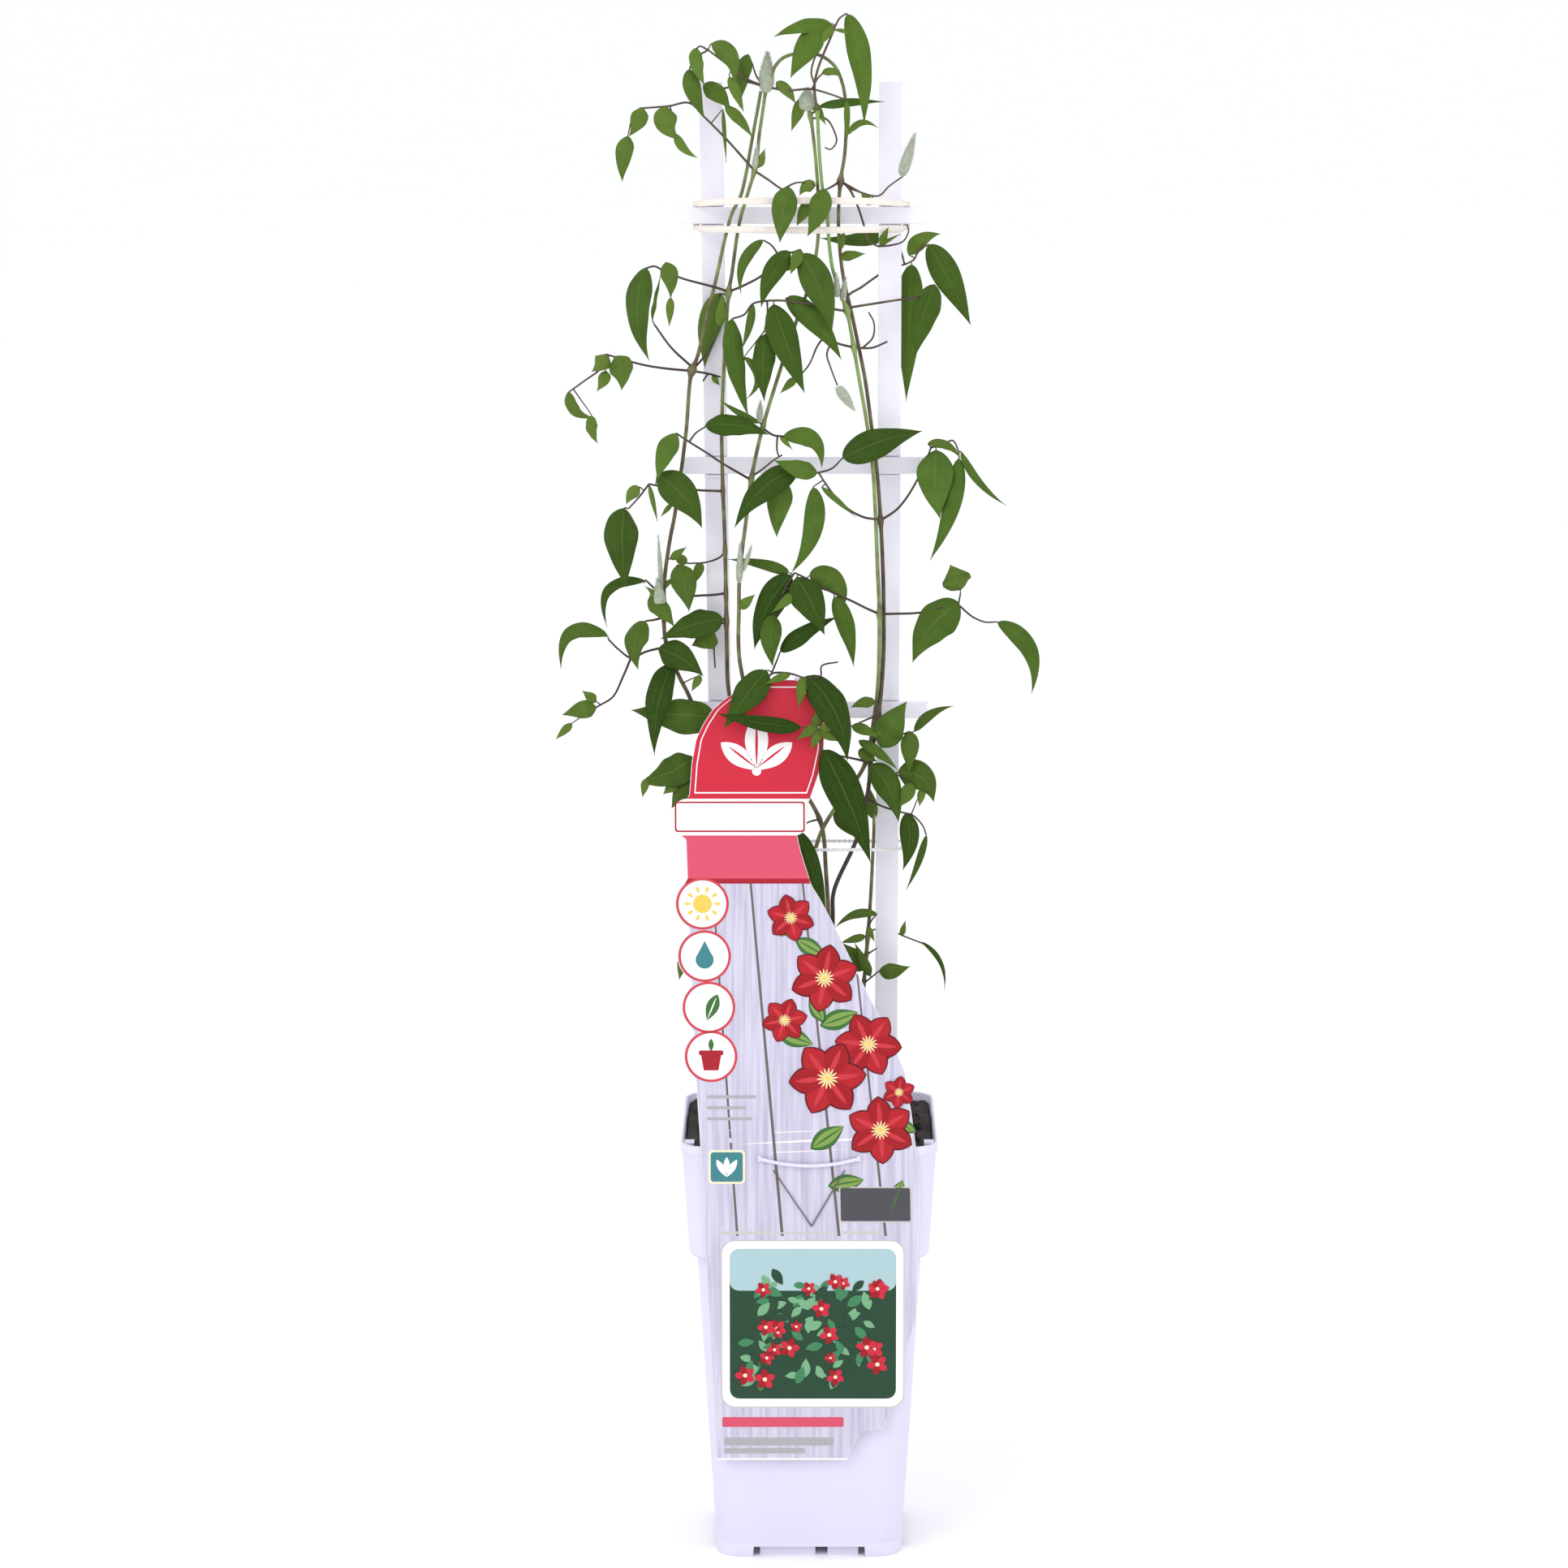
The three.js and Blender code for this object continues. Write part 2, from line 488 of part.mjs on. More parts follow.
// Leafy stems. A route is the stem's own line, twigs are its side stalks, blades are its leaves.
// Route and twig points are x, z as seen from the front and their depth y.
// A blade is: base x, z, depth; tip x, z, depth; width; bow; hook; roll; twist.
const STEMS = [
  {
    name: "leafy_stem_left",
    colour: 0x47762a,
    foot: [-9, -4],
    route: [
      [-24, 300, -8], [-38, 350, -8], [-50, 395, -8], [-58, 418, -8], [-62.5, 427, -8], [-66, 435, -7],
      [-69.5, 446, -6], [-70.2, 460, -5], [-69.8, 475, -5], [-67, 495, -5], [-65, 505, -5],
      [-61.5, 528, -5], [-59, 548, -5], [-56.5, 575, -5], [-53.5, 583, -5], [-49, 602, -5],
      [-44, 622, -5], [-40, 640, -4], [-36.5, 652, -3.5], [-33.2, 658, -2.5], [-30.5, 668, -2.5],
      [-28.3, 680, -2.5], [-26.5, 690, -2.5], [-24.6, 700, -3], [-23, 709, -3],
    ],
    twigs: [
      [0.6, [-57, 577, -6], [-66, 587, -8], [-74, 598, -10]],
      [0.6, [-55.5, 576, -6], [-48, 586, -8], [-43.5, 597, -8]],
      [0.6, [-57, 575.5, -6], [-68, 577, -9], [-78, 578.5, -11], [-86, 580.5, -12], [-96, 583.5, -12]],
      [0.5, [-96, 583.5, -12], [-100, 577, -13], [-108, 571, -13], [-115, 566, -14]],
      [0.6, [-56, 575.5, -5], [-48, 574.5, -1], [-42.5, 573, 1]],
      [0.6, [-70, 465, -5], [-74, 470, -7], [-79, 475, -9]],
      [0.6, [-70, 457, -5], [-75, 455.5, -8], [-79, 455, -9]],
      [0.6, [-69.5, 443, -7], [-79, 440, -12], [-86, 437, -14], [-92, 441, -15], [-97, 446, -15]],
      [0.6, [-86, 437, -14], [-90, 428, -16], [-95, 418, -17], [-101, 414, -17]],
      [0.5, [-50, 396, -8], [-48, 402, -11], [-46, 407, -13]],
      [0.5, [-46, 385, -8], [-50, 387, -13], [-54, 388, -17]],
      [0.5, [-26, 300, -8], [-45, 292, -14], [-60, 291, -18]],
    ],
    blades: [
      [-75, 600, -10, -71, 622, -7.5, 3.5, 0, 0, 60],
      [-43, 597, -8, -41.5, 613, -9, 5, 1],
      [-93, 583, -12, -90, 566.5, -18, 12, 3, 2, 12],
      [-97.5, 584, -12, -104.5, 575.5, -17, 9, 3, 1, -15],
      [-97.5, 576, -13, -102, 566, -18, 6, 2, 1],
      [-115.5, 566, -14, -103, 553.5, -19, 6, 2, -4, 20],
      [-104.5, 554.5, -19, -101.5, 541, -22, 6, 2, -1, 20],
      [-79, 474.5, -9, -97.5, 451.5, -18, 5.5, 4, -10.5, 10],
      [-77, 467, -8, -65, 452, -13, 9.5, 3, 0, -12],
      [-79, 455, -9, -82.5, 431, -17, 11.5, 4, -3, 14],
      [-97.5, 448, -15, -120, 431, -22, 7.5, 4, -11],
      [-103, 415.5, -17, -110, 421, -20, 5, 1],
      [-103, 413, -17, -120, 409, -23, 9, 3],
      [-73, 441.5, -9, -51, 428, -16, 14, 4, 2, 10],
      [-66, 434, -8, -75, 389, -26, 13, 7, -5, -18],
      [-45, 408, -12.5, -86.5, 411.5, -16, 17.5, 3, 1, 6],
      [-55, 388, -17, -82, 375, -21, 16, 3, 1.5, 8],
      [-57, 379, -17, -67, 363, -21, 10, 2],
      [-64, 376, -18, -71, 370, -21, 6, 2],
      [-61, 291, -18, -63.5, 278, -22, 5, 2],
      [-46.5, 573.5, 0, -43, 569, 2, 3, 1],
    ],
  },
  {
    name: "leafy_stem_centre_left",
    colour: 0x4a7d2a,
    foot: [-3, 5],
    route: [
      [-12, 300, 0], [-26, 360, -2], [-36, 405, -3], [-39.3, 424, -4], [-39.8, 440, -4],
      [-40.2, 470, -4], [-40.8, 500, -4], [-41.5, 518, -4], [-42, 545, -4], [-41.5, 565, -4],
      [-40.5, 583, -4], [-39.5, 600, -4], [-38.5, 614, -4], [-37, 622, -4], [-34.5, 640, -3.5],
      [-32.5, 650, -4.5], [-31, 655, -5], [-29.5, 660, -5.5], [-27, 668, -5.5], [-25, 676, -5.5],
      [-23.8, 688, -5.5], [-22, 700, -5.5], [-20.5, 711, -5.5],
    ],
    twigs: [
      [0.6, [-23, 711, -6], [-30, 715, -8], [-40, 722.5, -11], [-48, 728.5, -12]],
      [0.5, [-48, 728.5, -12], [-52, 730.3, -12], [-53.5, 729, -12]],
      [0.5, [-48, 728.5, -12], [-55, 724, -12], [-57, 719, -12]],
      [0.6, [-22, 711, -5], [-31, 713.5, -5], [-40, 710.5, -7], [-50, 711, -8]],
      [0.5, [-22, 711, -5], [-25, 716, -4], [-27, 722, -4]],
      [0.6, [-20, 710.5, -6], [-10, 709.5, -10], [1, 710, -12], [9, 708, -13], [16, 705.5, -13]],
      [0.5, [1, 710, -12], [4, 715, -13], [7, 718, -13]],
      [0.6, [-26.5, 671, -6], [-31, 677, -8], [-40, 687, -11], [-50, 697, -13], [-57, 703.5, -12],
        [-67, 702, -10], [-80, 701, -8]],
      [0.5, [-80, 701, -8], [-85, 694, -10]],
      [0.6, [-26, 671, -6], [-20, 667.5, -9], [-12, 662.5, -12], [-10, 664, -13]],
      [0.5, [-12, 662.5, -12], [-7, 665.5, -10], [-2, 666, -7]],
      [0.6, [-39, 614, -5], [-45, 616, -8], [-60, 620, -11], [-69, 623.5, -12], [-74, 626, -11],
        [-78, 625, -10]],
      [0.6, [-38, 614, -5], [-32, 616.5, -8], [-22, 622, -10], [-14, 630.5, -11], [-7, 633, -11]],
      [0.5, [-14, 630.5, -11], [-18, 636, -10], [-22, 638.5, -10]],
      [0.5, [-39, 612, -3], [-43, 613, -0.5]],
      [0.6, [-42, 518, -5], [-50, 518.3, -8], [-58, 518.8, -11], [-70, 520, -12], [-77, 521.5, -12]],
      [0.5, [-77, 521.5, -12], [-82, 515, -11], [-87, 509.5, -11]],
      [0.6, [-40, 456, -5], [-41.5, 456, -6]],
      [0.6, [-40, 468, -4], [-50, 467.5, -7.5], [-62, 468.5, -8.5], [-63, 482, -9]],
      [0.5, [-40, 454, -4], [-45, 453, -1.2], [-46, 444, -0.6], [-45.5, 432, 1]],
      [0.5, [-41, 490, -3], [-43, 486, -0.5], [-50, 483.5, 1.5], [-59, 483, 2]],
    ],
    blades: [
      [-20.5, 710, -5.5, -20, 726, -6, 7, 1],
      [-46.5, 731.5, -12, -36, 712, -17, 9, 3, 5, 10],
      [-38, 716, -16, -31, 699, -19, 5, 2],
      [-53.5, 729.5, -12, -49.5, 711.5, -17, 7, 2, -2, -15],
      [-57, 719.5, -12, -49.5, 696, -17, 8.5, 3, -1.5],
      [-50.5, 712, -8, -37.5, 700, -11, 9, 2, 1.5],
      [-40, 702, -10.5, -27, 687, -13, 5.5, 1, 1],
      [-29, 726.5, -5, -33, 701, -7, 8.5, 2, -1.5, 15],
      [-15.5, 713.5, -8, -6.5, 703, -11, 5.5, 1, 1],
      [-80, 701.5, -8, -86, 687.5, -12, 8.5, 3, 1.5],
      [-86.3, 688, -11, -89, 666, -15, 8.8, 3, -0.5, 12],
      [-68, 702, -10, -62.5, 686, -14, 11.5, 3, -2.5, 10],
      [-63.5, 689, -13, -53, 677.5, -16, 4.5, 1, -2],
      [-10, 664, -13, -14, 637, -17, 12, 2, -0.5],
      [-78, 625.5, -10, -76.5, 580.5, -18, 12.5, 5, -4, 15],
      [-68.5, 628, -12, -66.5, 611, -15, 8.5, 2, 1, -10],
      [-66.3, 611, -14.5, -67, 597, -17, 4, 1],
      [-22, 638.5, -10, -32.5, 612.5, -14, 5.5, 2, -4.5],
      [-9, 633, -11.5, -23, 606, -18, 10, 3, -3, -10],
      [-4, 634, -12, -9, 622, -15.5, 6, 1.5],
      [-6, 629, -10.5, -15, 623, -10.5, 5, 0.5],
      [-4, 632, -11.5, 11, 594, -17, 15, 4, 2.5, 10],
      [-42.5, 613, -0.5, -50, 577, 2, 12, 0, -2],
      [-73, 526, -12.5, -51.5, 500, -18, 16, 4, 3, 8],
      [-89, 510, -11, -88, 471, -19, 16.5, 5, -2.5, -12],
      [-41.5, 456, -6.5, -72, 446, -13, 14, 4, -1, 5],
      [-63.5, 482.5, -9, -58, 459.5, -13, 12.5, 3, 1],
      [-59, 483, 2, -66, 488, 4, 5, 1],
      [-52, 483.5, 1.3, -56, 472.5, 3, 5, 0.5],
      [-46, 450, -0.5, -57, 443, -4.5, 12, 2, 1],
    ],
  },
  {
    name: "leafy_stem_centre",
    colour: 0x42792a,
    foot: [8, -8],
    route: [
      [9.5, 305, -6], [8, 335, -6], [7, 350, -6], [5, 358, -6], [1, 366, -6], [-12, 385, -6],
      [-26, 408, -6], [-33.5, 435, -7], [-33.9, 462, -7], [-33.5, 478, -7], [-30.5, 503, -7],
      [-27.8, 524, -6.5], [-22.5, 548, -7], [-14, 576, -8], [-6, 600, -8], [1, 620, -7],
      [4, 637, -5], [4.5, 652, -4], [4, 665, -4], [2.8, 680, -4], [0.8, 696, -4], [-1, 704, -4],
    ],
    twigs: [
      [0.6, [-28, 524, -7], [-35, 527.5, -9], [-41, 531, -10], [-50, 537, -11], [-58, 542, -12],
        [-64, 546, -12]],
      [0.5, [-58, 542, -12], [-54.5, 546, -12], [-50, 549, -12]],
      [0.5, [-27, 525, -7], [-22, 529, -9], [-17, 533, -10], [-13, 535.5, -11]],
      [0.6, [-21.5, 548, -8], [-17, 545, -10], [-12, 544.5, -11]],
      [0.5, [-22.5, 550, -7.5], [-24, 551, -9]],
      [0.6, [-30, 413, -7], [-26, 421, -10], [-20, 427.5, -16], [-17.5, 429.5, -18],
        [-10, 429.5, -20], [-2, 427, -22]],
      [0.5, [-18.5, 429, -17], [-15.5, 436, -16], [-14, 440, -15]],
      [0.5, [-2, 427, -22], [5.5, 428, -23], [6, 433, -23], [14, 435, -23]],
      [0.5, [3, 697, -4.5], [8, 696, -4], [12, 690, -4], [13, 685, -4], [10, 681.5, -4], [7.5, 682.5, -4]],
      [0.6, [1.5, 698, -4.5], [4, 700.5, -5.2], [6, 701.5, -5.5]],
      [0.5, [4.5, 357, -6.5], [0, 356.5, -12], [-4, 354, -17.5]],
    ],
    blades: [
      [-64, 546, -12, -73, 523, -18, 10, 3, -1, 8],
      [-50, 549.5, -12, -19, 545, -15, 10.5, 3, 2],
      [-24, 551, -9, -43, 562, -12, 3.5, 2, 1],
      [-12.5, 544, -11, 6, 528.5, -15, 9, 2, 8],
      [-33.8, 478, -7.5, -33.5, 493, -9.5, 3.5, 1],
      [-33.8, 461, -8, -26, 468, -11, 5, 1],
      [-14, 440, -15, 14, 457, -12, 8.5, 2, 1.5, -8],
      [-20.5, 431, -17, -41.5, 402, -31, 15, 4, 0, 6],
      [-1, 428, -22, 18.5, 386, -33, 16, 5, 4, -8],
      [-3, 428, -22, -5, 412, -28, 5, 1],
      [-1, 702, -4, -1, 709.5, -4.5, 7.5, 0, 0, 0],
      [-0.6, 702, -4, -0.8, 710, -4.5, 7.5, 0, 0, 85],
      [-3, 706, -5, -8.5, 690, -7, 6, 1],
      [5, 702, -5.5, 36, 704, -9, 4.5, 2, 0.5],
      [-5.5, 352, -18, 8.5, 309, -20, 10, 2, 0.5],
      [-2.5, 427.5, -22, 8, 414, -25, 7, 1, 2],
      [0, 657, -6.2, -6, 645, -8.5, 6, 1],
    ],
  },
  {
    name: "leafy_stem_right",
    colour: 0x3f7224,
    foot: [4, 3],
    route: [
      [-2, 300, 1], [0, 330, 0], [3, 343, 0], [7, 354, 0], [16, 368, -1], [22, 376, -2],
      [27.5, 386, -3], [31.5, 408, -3], [33, 420, -5.5], [34, 440, -7.5], [34, 459, -7.5],
      [33, 480, -7.2], [32, 505, -6], [30.5, 530, -7.8], [27.5, 552, -8.5], [24, 572, -6.5],
      [20, 595, -5], [18, 605, -5], [14.5, 614, -5.5], [11, 626, -6.5], [9.3, 640, -6],
      [8.6, 652, -5.4], [6.4, 663, -6.6], [5.2, 675, -7.4], [4.3, 690, -7.6], [4, 700, -9],
    ],
    twigs: [
      [0.7, [5, 698, -9], [2.5, 711, -10.5], [4, 719, -11], [7, 727, -11], [10.5, 735, -11],
        [12.5, 740, -11]],
      [0.6, [18, 605, -6], [12, 605.5, -9], [0, 608, -13], [-11, 609.5, -14], [-20, 609.5, -14],
        [-27, 608, -13], [-31, 603, -12], [-36.5, 601, -11]],
      [0.5, [-20, 609.5, -14], [-20, 602, -14.5], [-21.5, 595, -15]],
      [0.6, [18.5, 605.5, -6], [30, 608, -6], [43, 610, -6], [50, 611, -6], [60, 617, -6]],
      [0.6, [18, 605, -4], [18.5, 611.5, -3], [25, 616, 3], [32, 621, 13], [38, 625, 14],
        [46, 627, 12], [50, 629, 8]],
      [0.5, [50, 629, 8], [53, 634, 4], [56.5, 636, 2]],
      [0.6, [21.8, 587, -6], [30, 587, -6.5], [37.5, 590, -7]],
      [0.6, [21.8, 587, -6], [14, 589, -9], [7, 592, -10]],
      [0.5, [11, 590, -9.5], [8.5, 584, -10.5], [10.5, 577, -11], [13.5, 569, -11]],
      [0.5, [7, 592, -10], [4, 588, -11.5], [0, 579, -13], [-5, 573, -13]],
      [0.6, [34, 459, -8], [28, 461, -10], [20, 465, -12], [12, 468.5, -13], [7, 471, -14],
        [0, 475, -14], [-7, 478.5, -13]],
      [0.5, [-7, 478.5, -13], [-12, 470, -14.5], [-15, 459, -15]],
      [0.6, [35, 459, -8], [40, 458.5, -10], [53, 459, -14], [63, 461, -14], [72, 463, -13]],
      [0.5, [72, 463, -13], [79, 457, -13], [85, 454.5, -13], [90, 454.5, -13]],
      [0.5, [72, 463, -13], [73, 468, -13.5]],
      [0.6, [27, 386, -4], [20, 388, -12], [12, 389.5, -20], [6, 391, -27]],
      [0.5, [6, 391, -27], [5.5, 398, -27.5], [4, 403, -27.5]],
      [0.5, [12.5, 740, -11], [14.5, 743.5, -11.5], [18, 745.8, -11]],
      [0.5, [46, 627, 12], [43.5, 634, 12.6], [38.5, 641.5, 12.5]],
    ],
    blades: [
      [11, 740, -11, -17, 734.5, -15, 7.5, 2, -2],
      [6, 739, -11.5, -9, 715, -16, 12, 3, -1, -8],
      [10, 741, -11, 6, 731, -13, 6, 1],
      [18, 745.5, -11, 26, 692.5, -18, 11, 4, 3.5, 12],
      [-11, 611, -13, 15.5, 581, -14, 11, 0.5, 3, 6],
      [-17, 608, -14, -2, 565, -21, 14.5, 5, -1.5, -8],
      [-20.5, 594, -15, -21.5, 561, -20, 11, 4, -0.5, 10],
      [-37, 601, -11, -29, 553.5, -18, 10, 3, -2.5, -14],
      [-31, 582.5, -15.5, -30.5, 562, -20, 4.5, 2, 6.5, 5],
      [60, 617.5, -6, 50.5, 582, -12, 13, 4, -0.5, 8],
      [49, 627, 9.5, 46.5, 561, 15, 13, -3, 0],
      [57, 636.5, 2, 77.5, 597.5, -5, 13.5, 5, 1, 10],
      [47.5, 631.5, 7, 63, 641.5, 4, 8, 2, 2.5],
      [13.5, 568, -11, 23, 557, -15, 5.5, 1],
      [-8, 478, -13, 1, 521, -19, 10.5, 4, -4, 10],
      [-10, 478.5, -12, -39.5, 485, 0, 5.5, -3, -2],
      [-9, 477.5, -12.5, -26.5, 441, -15, 14.5, 1, -3, 8],
      [-6, 476.5, -14.5, 7.5, 448, -21, 16, 5, 0, -6],
      [0, 477, -13.5, 17, 461, -13, 12, 0.5, 6],
      [-17, 458, -15, -17.5, 432.5, -20, 10.5, 3, -1.5],
      [12, 467, -13, 21.5, 432.5, -19, 9, 3, 2, 10],
      [-6, 469, -17.5, -18, 459, -21, 5, 1],
      [72.3, 463.6, -13.3, 50, 434.5, -20, 18.5, 3, -3, 6],
      [73, 470, -13.5, 68, 482.5, -15, 14.5, 2],
      [91, 454.5, -13, 107.5, 419, -20, 9, 4, 8],
      [6.5, 392, -27.5, 30, 336, -44, 17.5, 5, 2, 6],
      [-4, 403, -28, -45, 410, -30, 8, 3, 1.5],
      [3, 403, -27, 5, 413, -25.5, 5, 0.5],
      [5, 402, -28, 1, 392, -31.5, 5, 1],
      [6, 401, -28, 15, 396, -31, 5, 1],
      [4, 404, -28, -6, 397, -31, 5, 1],
      [13, 364, 1, 27, 347, 6, 11, 2],
      [38, 641.5, 12.5, 5, 639.5, 12.8, 7, -1, 1.5],
    ],
  },
  {
    name: "leafy_stem_arching",
    colour: 0x4a7a2e,
    foot: [14, -5],
    route: [
      [11.5, 310, -2], [12, 322, -2], [21.5, 344, -4], [26, 356, -6], [29, 375, -7],
      [30, 388, -7], [33, 405, -7.2], [35.8, 420, -5.4], [36, 440, -3.5], [36, 459, -3.5],
      [35.6, 480, -3.5], [35.6, 504, -3.5], [32.4, 530, -4.5], [29.6, 552, -3.5], [26.8, 572, -2],
      [23.2, 590, -1], [20, 605, 0], [16.5, 620, 0], [14.6, 635, -1], [14, 650, -2.8], [15, 667, -4],
      [17, 680, -4], [17.5, 700, -4], [16, 712, -4], [12, 721, -5], [5, 726, -5], [-4, 727, -5],
      [-12, 725, -6], [-16, 721, -7], [-18, 716, -8],
    ],
    twigs: [
      [0.6, [14.5, 667, -5], [11, 664, -9], [7, 662, -13]],
      [0.6, [15.5, 667, -5], [19, 663, -4], [23, 655, -2.5], [26, 646, -2], [28.5, 638, -3],
        [33, 635.5, -4]],
      [0.5, [18, 662, -4], [33, 659.5, -4], [38, 664, -5], [45, 669, -6]],
      [0.6, [35.5, 504, -4.5], [34, 504.2, -9.5], [31, 504.6, -12], [27, 505.2, -13.5],
        [20, 508.5, -15], [12, 516, -16],
        [7, 523, -16], [4, 527, -15], [0, 526, -14], [-5, 527, -13]],
      [0.5, [4, 527, -15], [11, 529, -14.5], [16, 534, -13.5]],
      [0.6, [36.5, 504.5, -4], [42, 509, -5], [47, 515, -6], [52, 523.5, -7], [56, 532, -7],
        [58.5, 539, -7]],
      [0.5, [58.5, 539, -7], [65, 541, -7], [69, 542.5, -7], [72, 537, -7]],
      [0.5, [31, 408, -7.5], [34, 402, -10], [38, 396, -11], [44, 399, -12]],
      [0.5, [29.5, 385, -7.5], [34, 383, -11], [42, 380, -12]],
      [0.5, [27, 368, -7.5], [36, 364, -13], [46, 361, -16], [50, 360, -16], [55, 355, -16],
        [57, 350, -16]],
      [0.5, [31, 409, -7.5], [26, 406, -10], [20.5, 403.5, -11.5]],
    ],
    blades: [
      [7, 663, -13, -1, 640, -16, 10.5, 2, 1.2],
      [44.5, 669, -6, 51, 689, -9, 6, 2],
      [-5, 529, -13, -36, 500, -20, 13, 4, -4, 5],
      [4, 527, -15.5, -17, 533, -18, 9, 2, 1],
      [-12, 523, -12.5, -15.5, 495.5, -12.5, 12, 0.5, -1.5, 10],
      [16, 534, -13.5, 54.5, 547, -14, 15, 2, 1.5],
      [61, 538, -7, 63, 504.5, -15, 18, 4, -1, 8],
      [57, 541, -7.5, 73, 533.5, -10, 4.5, 1, 3],
      [72, 534, -7.5, 58, 484, -16, 9, 3, 3],
      [32, 415.5, -8, 20, 412.5, -12, 5.5, 1, -1],
      [31, 404, -10, 38, 398, -13, 6, 1],
      [35, 393, -11, 47.5, 416, -16, 15, 3, 1],
      [51, 401, -12.5, 70, 413.5, -17, 5, 2, 2.5],
      [49, 401, -13, 48.5, 381, -16, 9, 2],
      [24, 396.5, -10, 43, 382, -15, 5.5, 2, 1],
      [30, 385, -10.5, 43.5, 356, -18, 13, 3, 3, 8],
      [43, 381, -12.5, 60.5, 366, -17, 15, 3, 5],
      [49, 376, -17.5, 44, 364, -22, 7, 1, 1],
      [47, 361, -16, 45.5, 332.5, -21, 9.5, 3, 2.5],
      [57, 350, -16, 47, 322.5, -22, 3.5, 2, 1],
      [20.5, 403.5, -11.5, 34, 397.5, -13, 5.5, 1, 1],
    ],
  },
  {
    name: "leafy_stem_low",
    colour: 0x40702a,
    foot: [22, 2],
    route: [
      [24, 250, 0], [27, 280, -2], [28.4, 297, -3], [30, 320, -3], [31, 341, -2.5], [31.5, 352, -1.5],
      [31.5, 364, -0.5],
    ],
    twigs: [
      [0.5, [27, 276, -3], [31, 280, -6], [34, 282.5, -7]],
      [0.5, [28.6, 299, -2], [28.8, 301, 6], [31, 303, 12.5], [34, 303.5, 14.5], [40, 303, 15],
        [45, 300.5, 14], [55, 296.5, 11]],
    ],
    blades: [
      [33, 311, -8, 12.5, 304, -14, 4.5, 2, -3],
      [28, 284, -4, 14, 298, -9, 10, 2, 1],
      [30, 280, -5.5, 22, 297, -12, 5, 2],
      [34, 282.5, -7, 49.5, 285, -12, 8, 2, -1],
      [31.4, 358, -1, 28, 376, -1, 6, 1],
    ],
  },
];

const BLADE_STATIONS = { 2: [0.22, 0.6], 3: [0.15, 0.42, 0.74], 4: [0.11, 0.31, 0.56, 0.81] };
const BLADE_PEAK = 0.3118;
const BLADE_TAPER = 1.25;
const BLADE_SWELL = 0.6;
const BLADE_DROOP = 0.3;
const LONG_BLADE = 32;
const SHORT_BLADE = 16;

function bladeLine(row, root = null) {
  const [bx, bz, by, tx, tz, ty, width, bow = 3, hook = 0, roll = 0, twist = 0] = row;
  const base = root ?? seen(bx, bz, by);
  const along = seen(tx, tz, ty).sub(base);
  const length = along.length();
  const axis = along.clone().normalize();
  const face = new THREE.Vector3(0, -1, 0.3).projectOnPlane(axis).normalize();
  face.applyAxisAngle(axis, THREE.MathUtils.degToRad(roll));
  const side = face.clone().cross(axis);
  const bend = face.clone().multiplyScalar(bow).addScaledVector(side, hook);
  const point = (t) => base.clone().addScaledVector(along, t).addScaledVector(bend, 4 * t * (1 - t));
  const frame = (t) => {
    const tangent = along.clone().addScaledVector(bend, 4 * (1 - 2 * t)).normalize();
    const turned = face.clone().applyAxisAngle(axis, THREE.MathUtils.degToRad(twist) * t);
    const across = turned.cross(tangent).normalize();
    return { across, normal: tangent.clone().cross(across) };
  };
  const half = (t) => ((width / 2) * t ** BLADE_SWELL * (1 - t) ** BLADE_TAPER) / BLADE_PEAK;
  return { length, point, frame, half };
}

// One leaf: a thin folded blade, pointed at both ends, alike on both faces
function blade(row, root) {
  const line = bladeLine(row, root);
  let stations = BLADE_STATIONS[3];
  if (line.length > LONG_BLADE) stations = BLADE_STATIONS[4];
  if (line.length < SHORT_BLADE) stations = BLADE_STATIONS[2];
  const points = [];
  const lift = BLADE_THICKNESS / 2;
  const put = (p, normal) => {
    points.push(p.clone().addScaledVector(normal, lift), p.clone().addScaledVector(normal, -lift));
    return points.length - 2;
  };
  const columns = [];
  const start = put(line.point(0), line.frame(0).normal);
  for (const t of stations) {
    const { across, normal } = line.frame(t);
    const middle = line.point(t);
    const half = line.half(t);
    const edge = (sign) => {
      const p = middle.clone().addScaledVector(across, sign * half);
      return p.addScaledVector(normal, -BLADE_DROOP * half);
    };
    columns.push([put(edge(-1), normal), put(middle, normal), put(edge(1), normal)]);
  }
  const finish = put(line.point(1), line.frame(1).normal);
  const triangles = [];
  const faceBoth = (a, b, c) => triangles.push(a, b, c, a + 1, c + 1, b + 1);
  const rim = (a, b, left) => {
    if (left) triangles.push(a, b, b + 1, a, b + 1, a + 1);
    else triangles.push(a, b + 1, b, a, a + 1, b + 1);
  };
  const [firstRight, firstMiddle, firstLeft] = columns[0];
  faceBoth(start, firstMiddle, firstLeft);
  faceBoth(start, firstRight, firstMiddle);
  rim(start, firstLeft, true);
  rim(start, firstRight, false);
  for (let i = 0; i < columns.length - 1; i += 1) {
    const here = columns[i];
    const next = columns[i + 1];
    for (const strip of [0, 1]) {
      faceBoth(here[strip], next[strip], next[strip + 1]);
      faceBoth(here[strip], next[strip + 1], here[strip + 1]);
    }
    rim(here[2], next[2], true);
    rim(here[0], next[0], false);
  }
  const [lastRight, lastMiddle, lastLeft] = columns[columns.length - 1];
  faceBoth(lastRight, finish, lastMiddle);
  faceBoth(lastMiddle, finish, lastLeft);
  rim(lastLeft, finish, true);
  rim(lastRight, finish, false);
  return facesSolid(points, triangles);
}

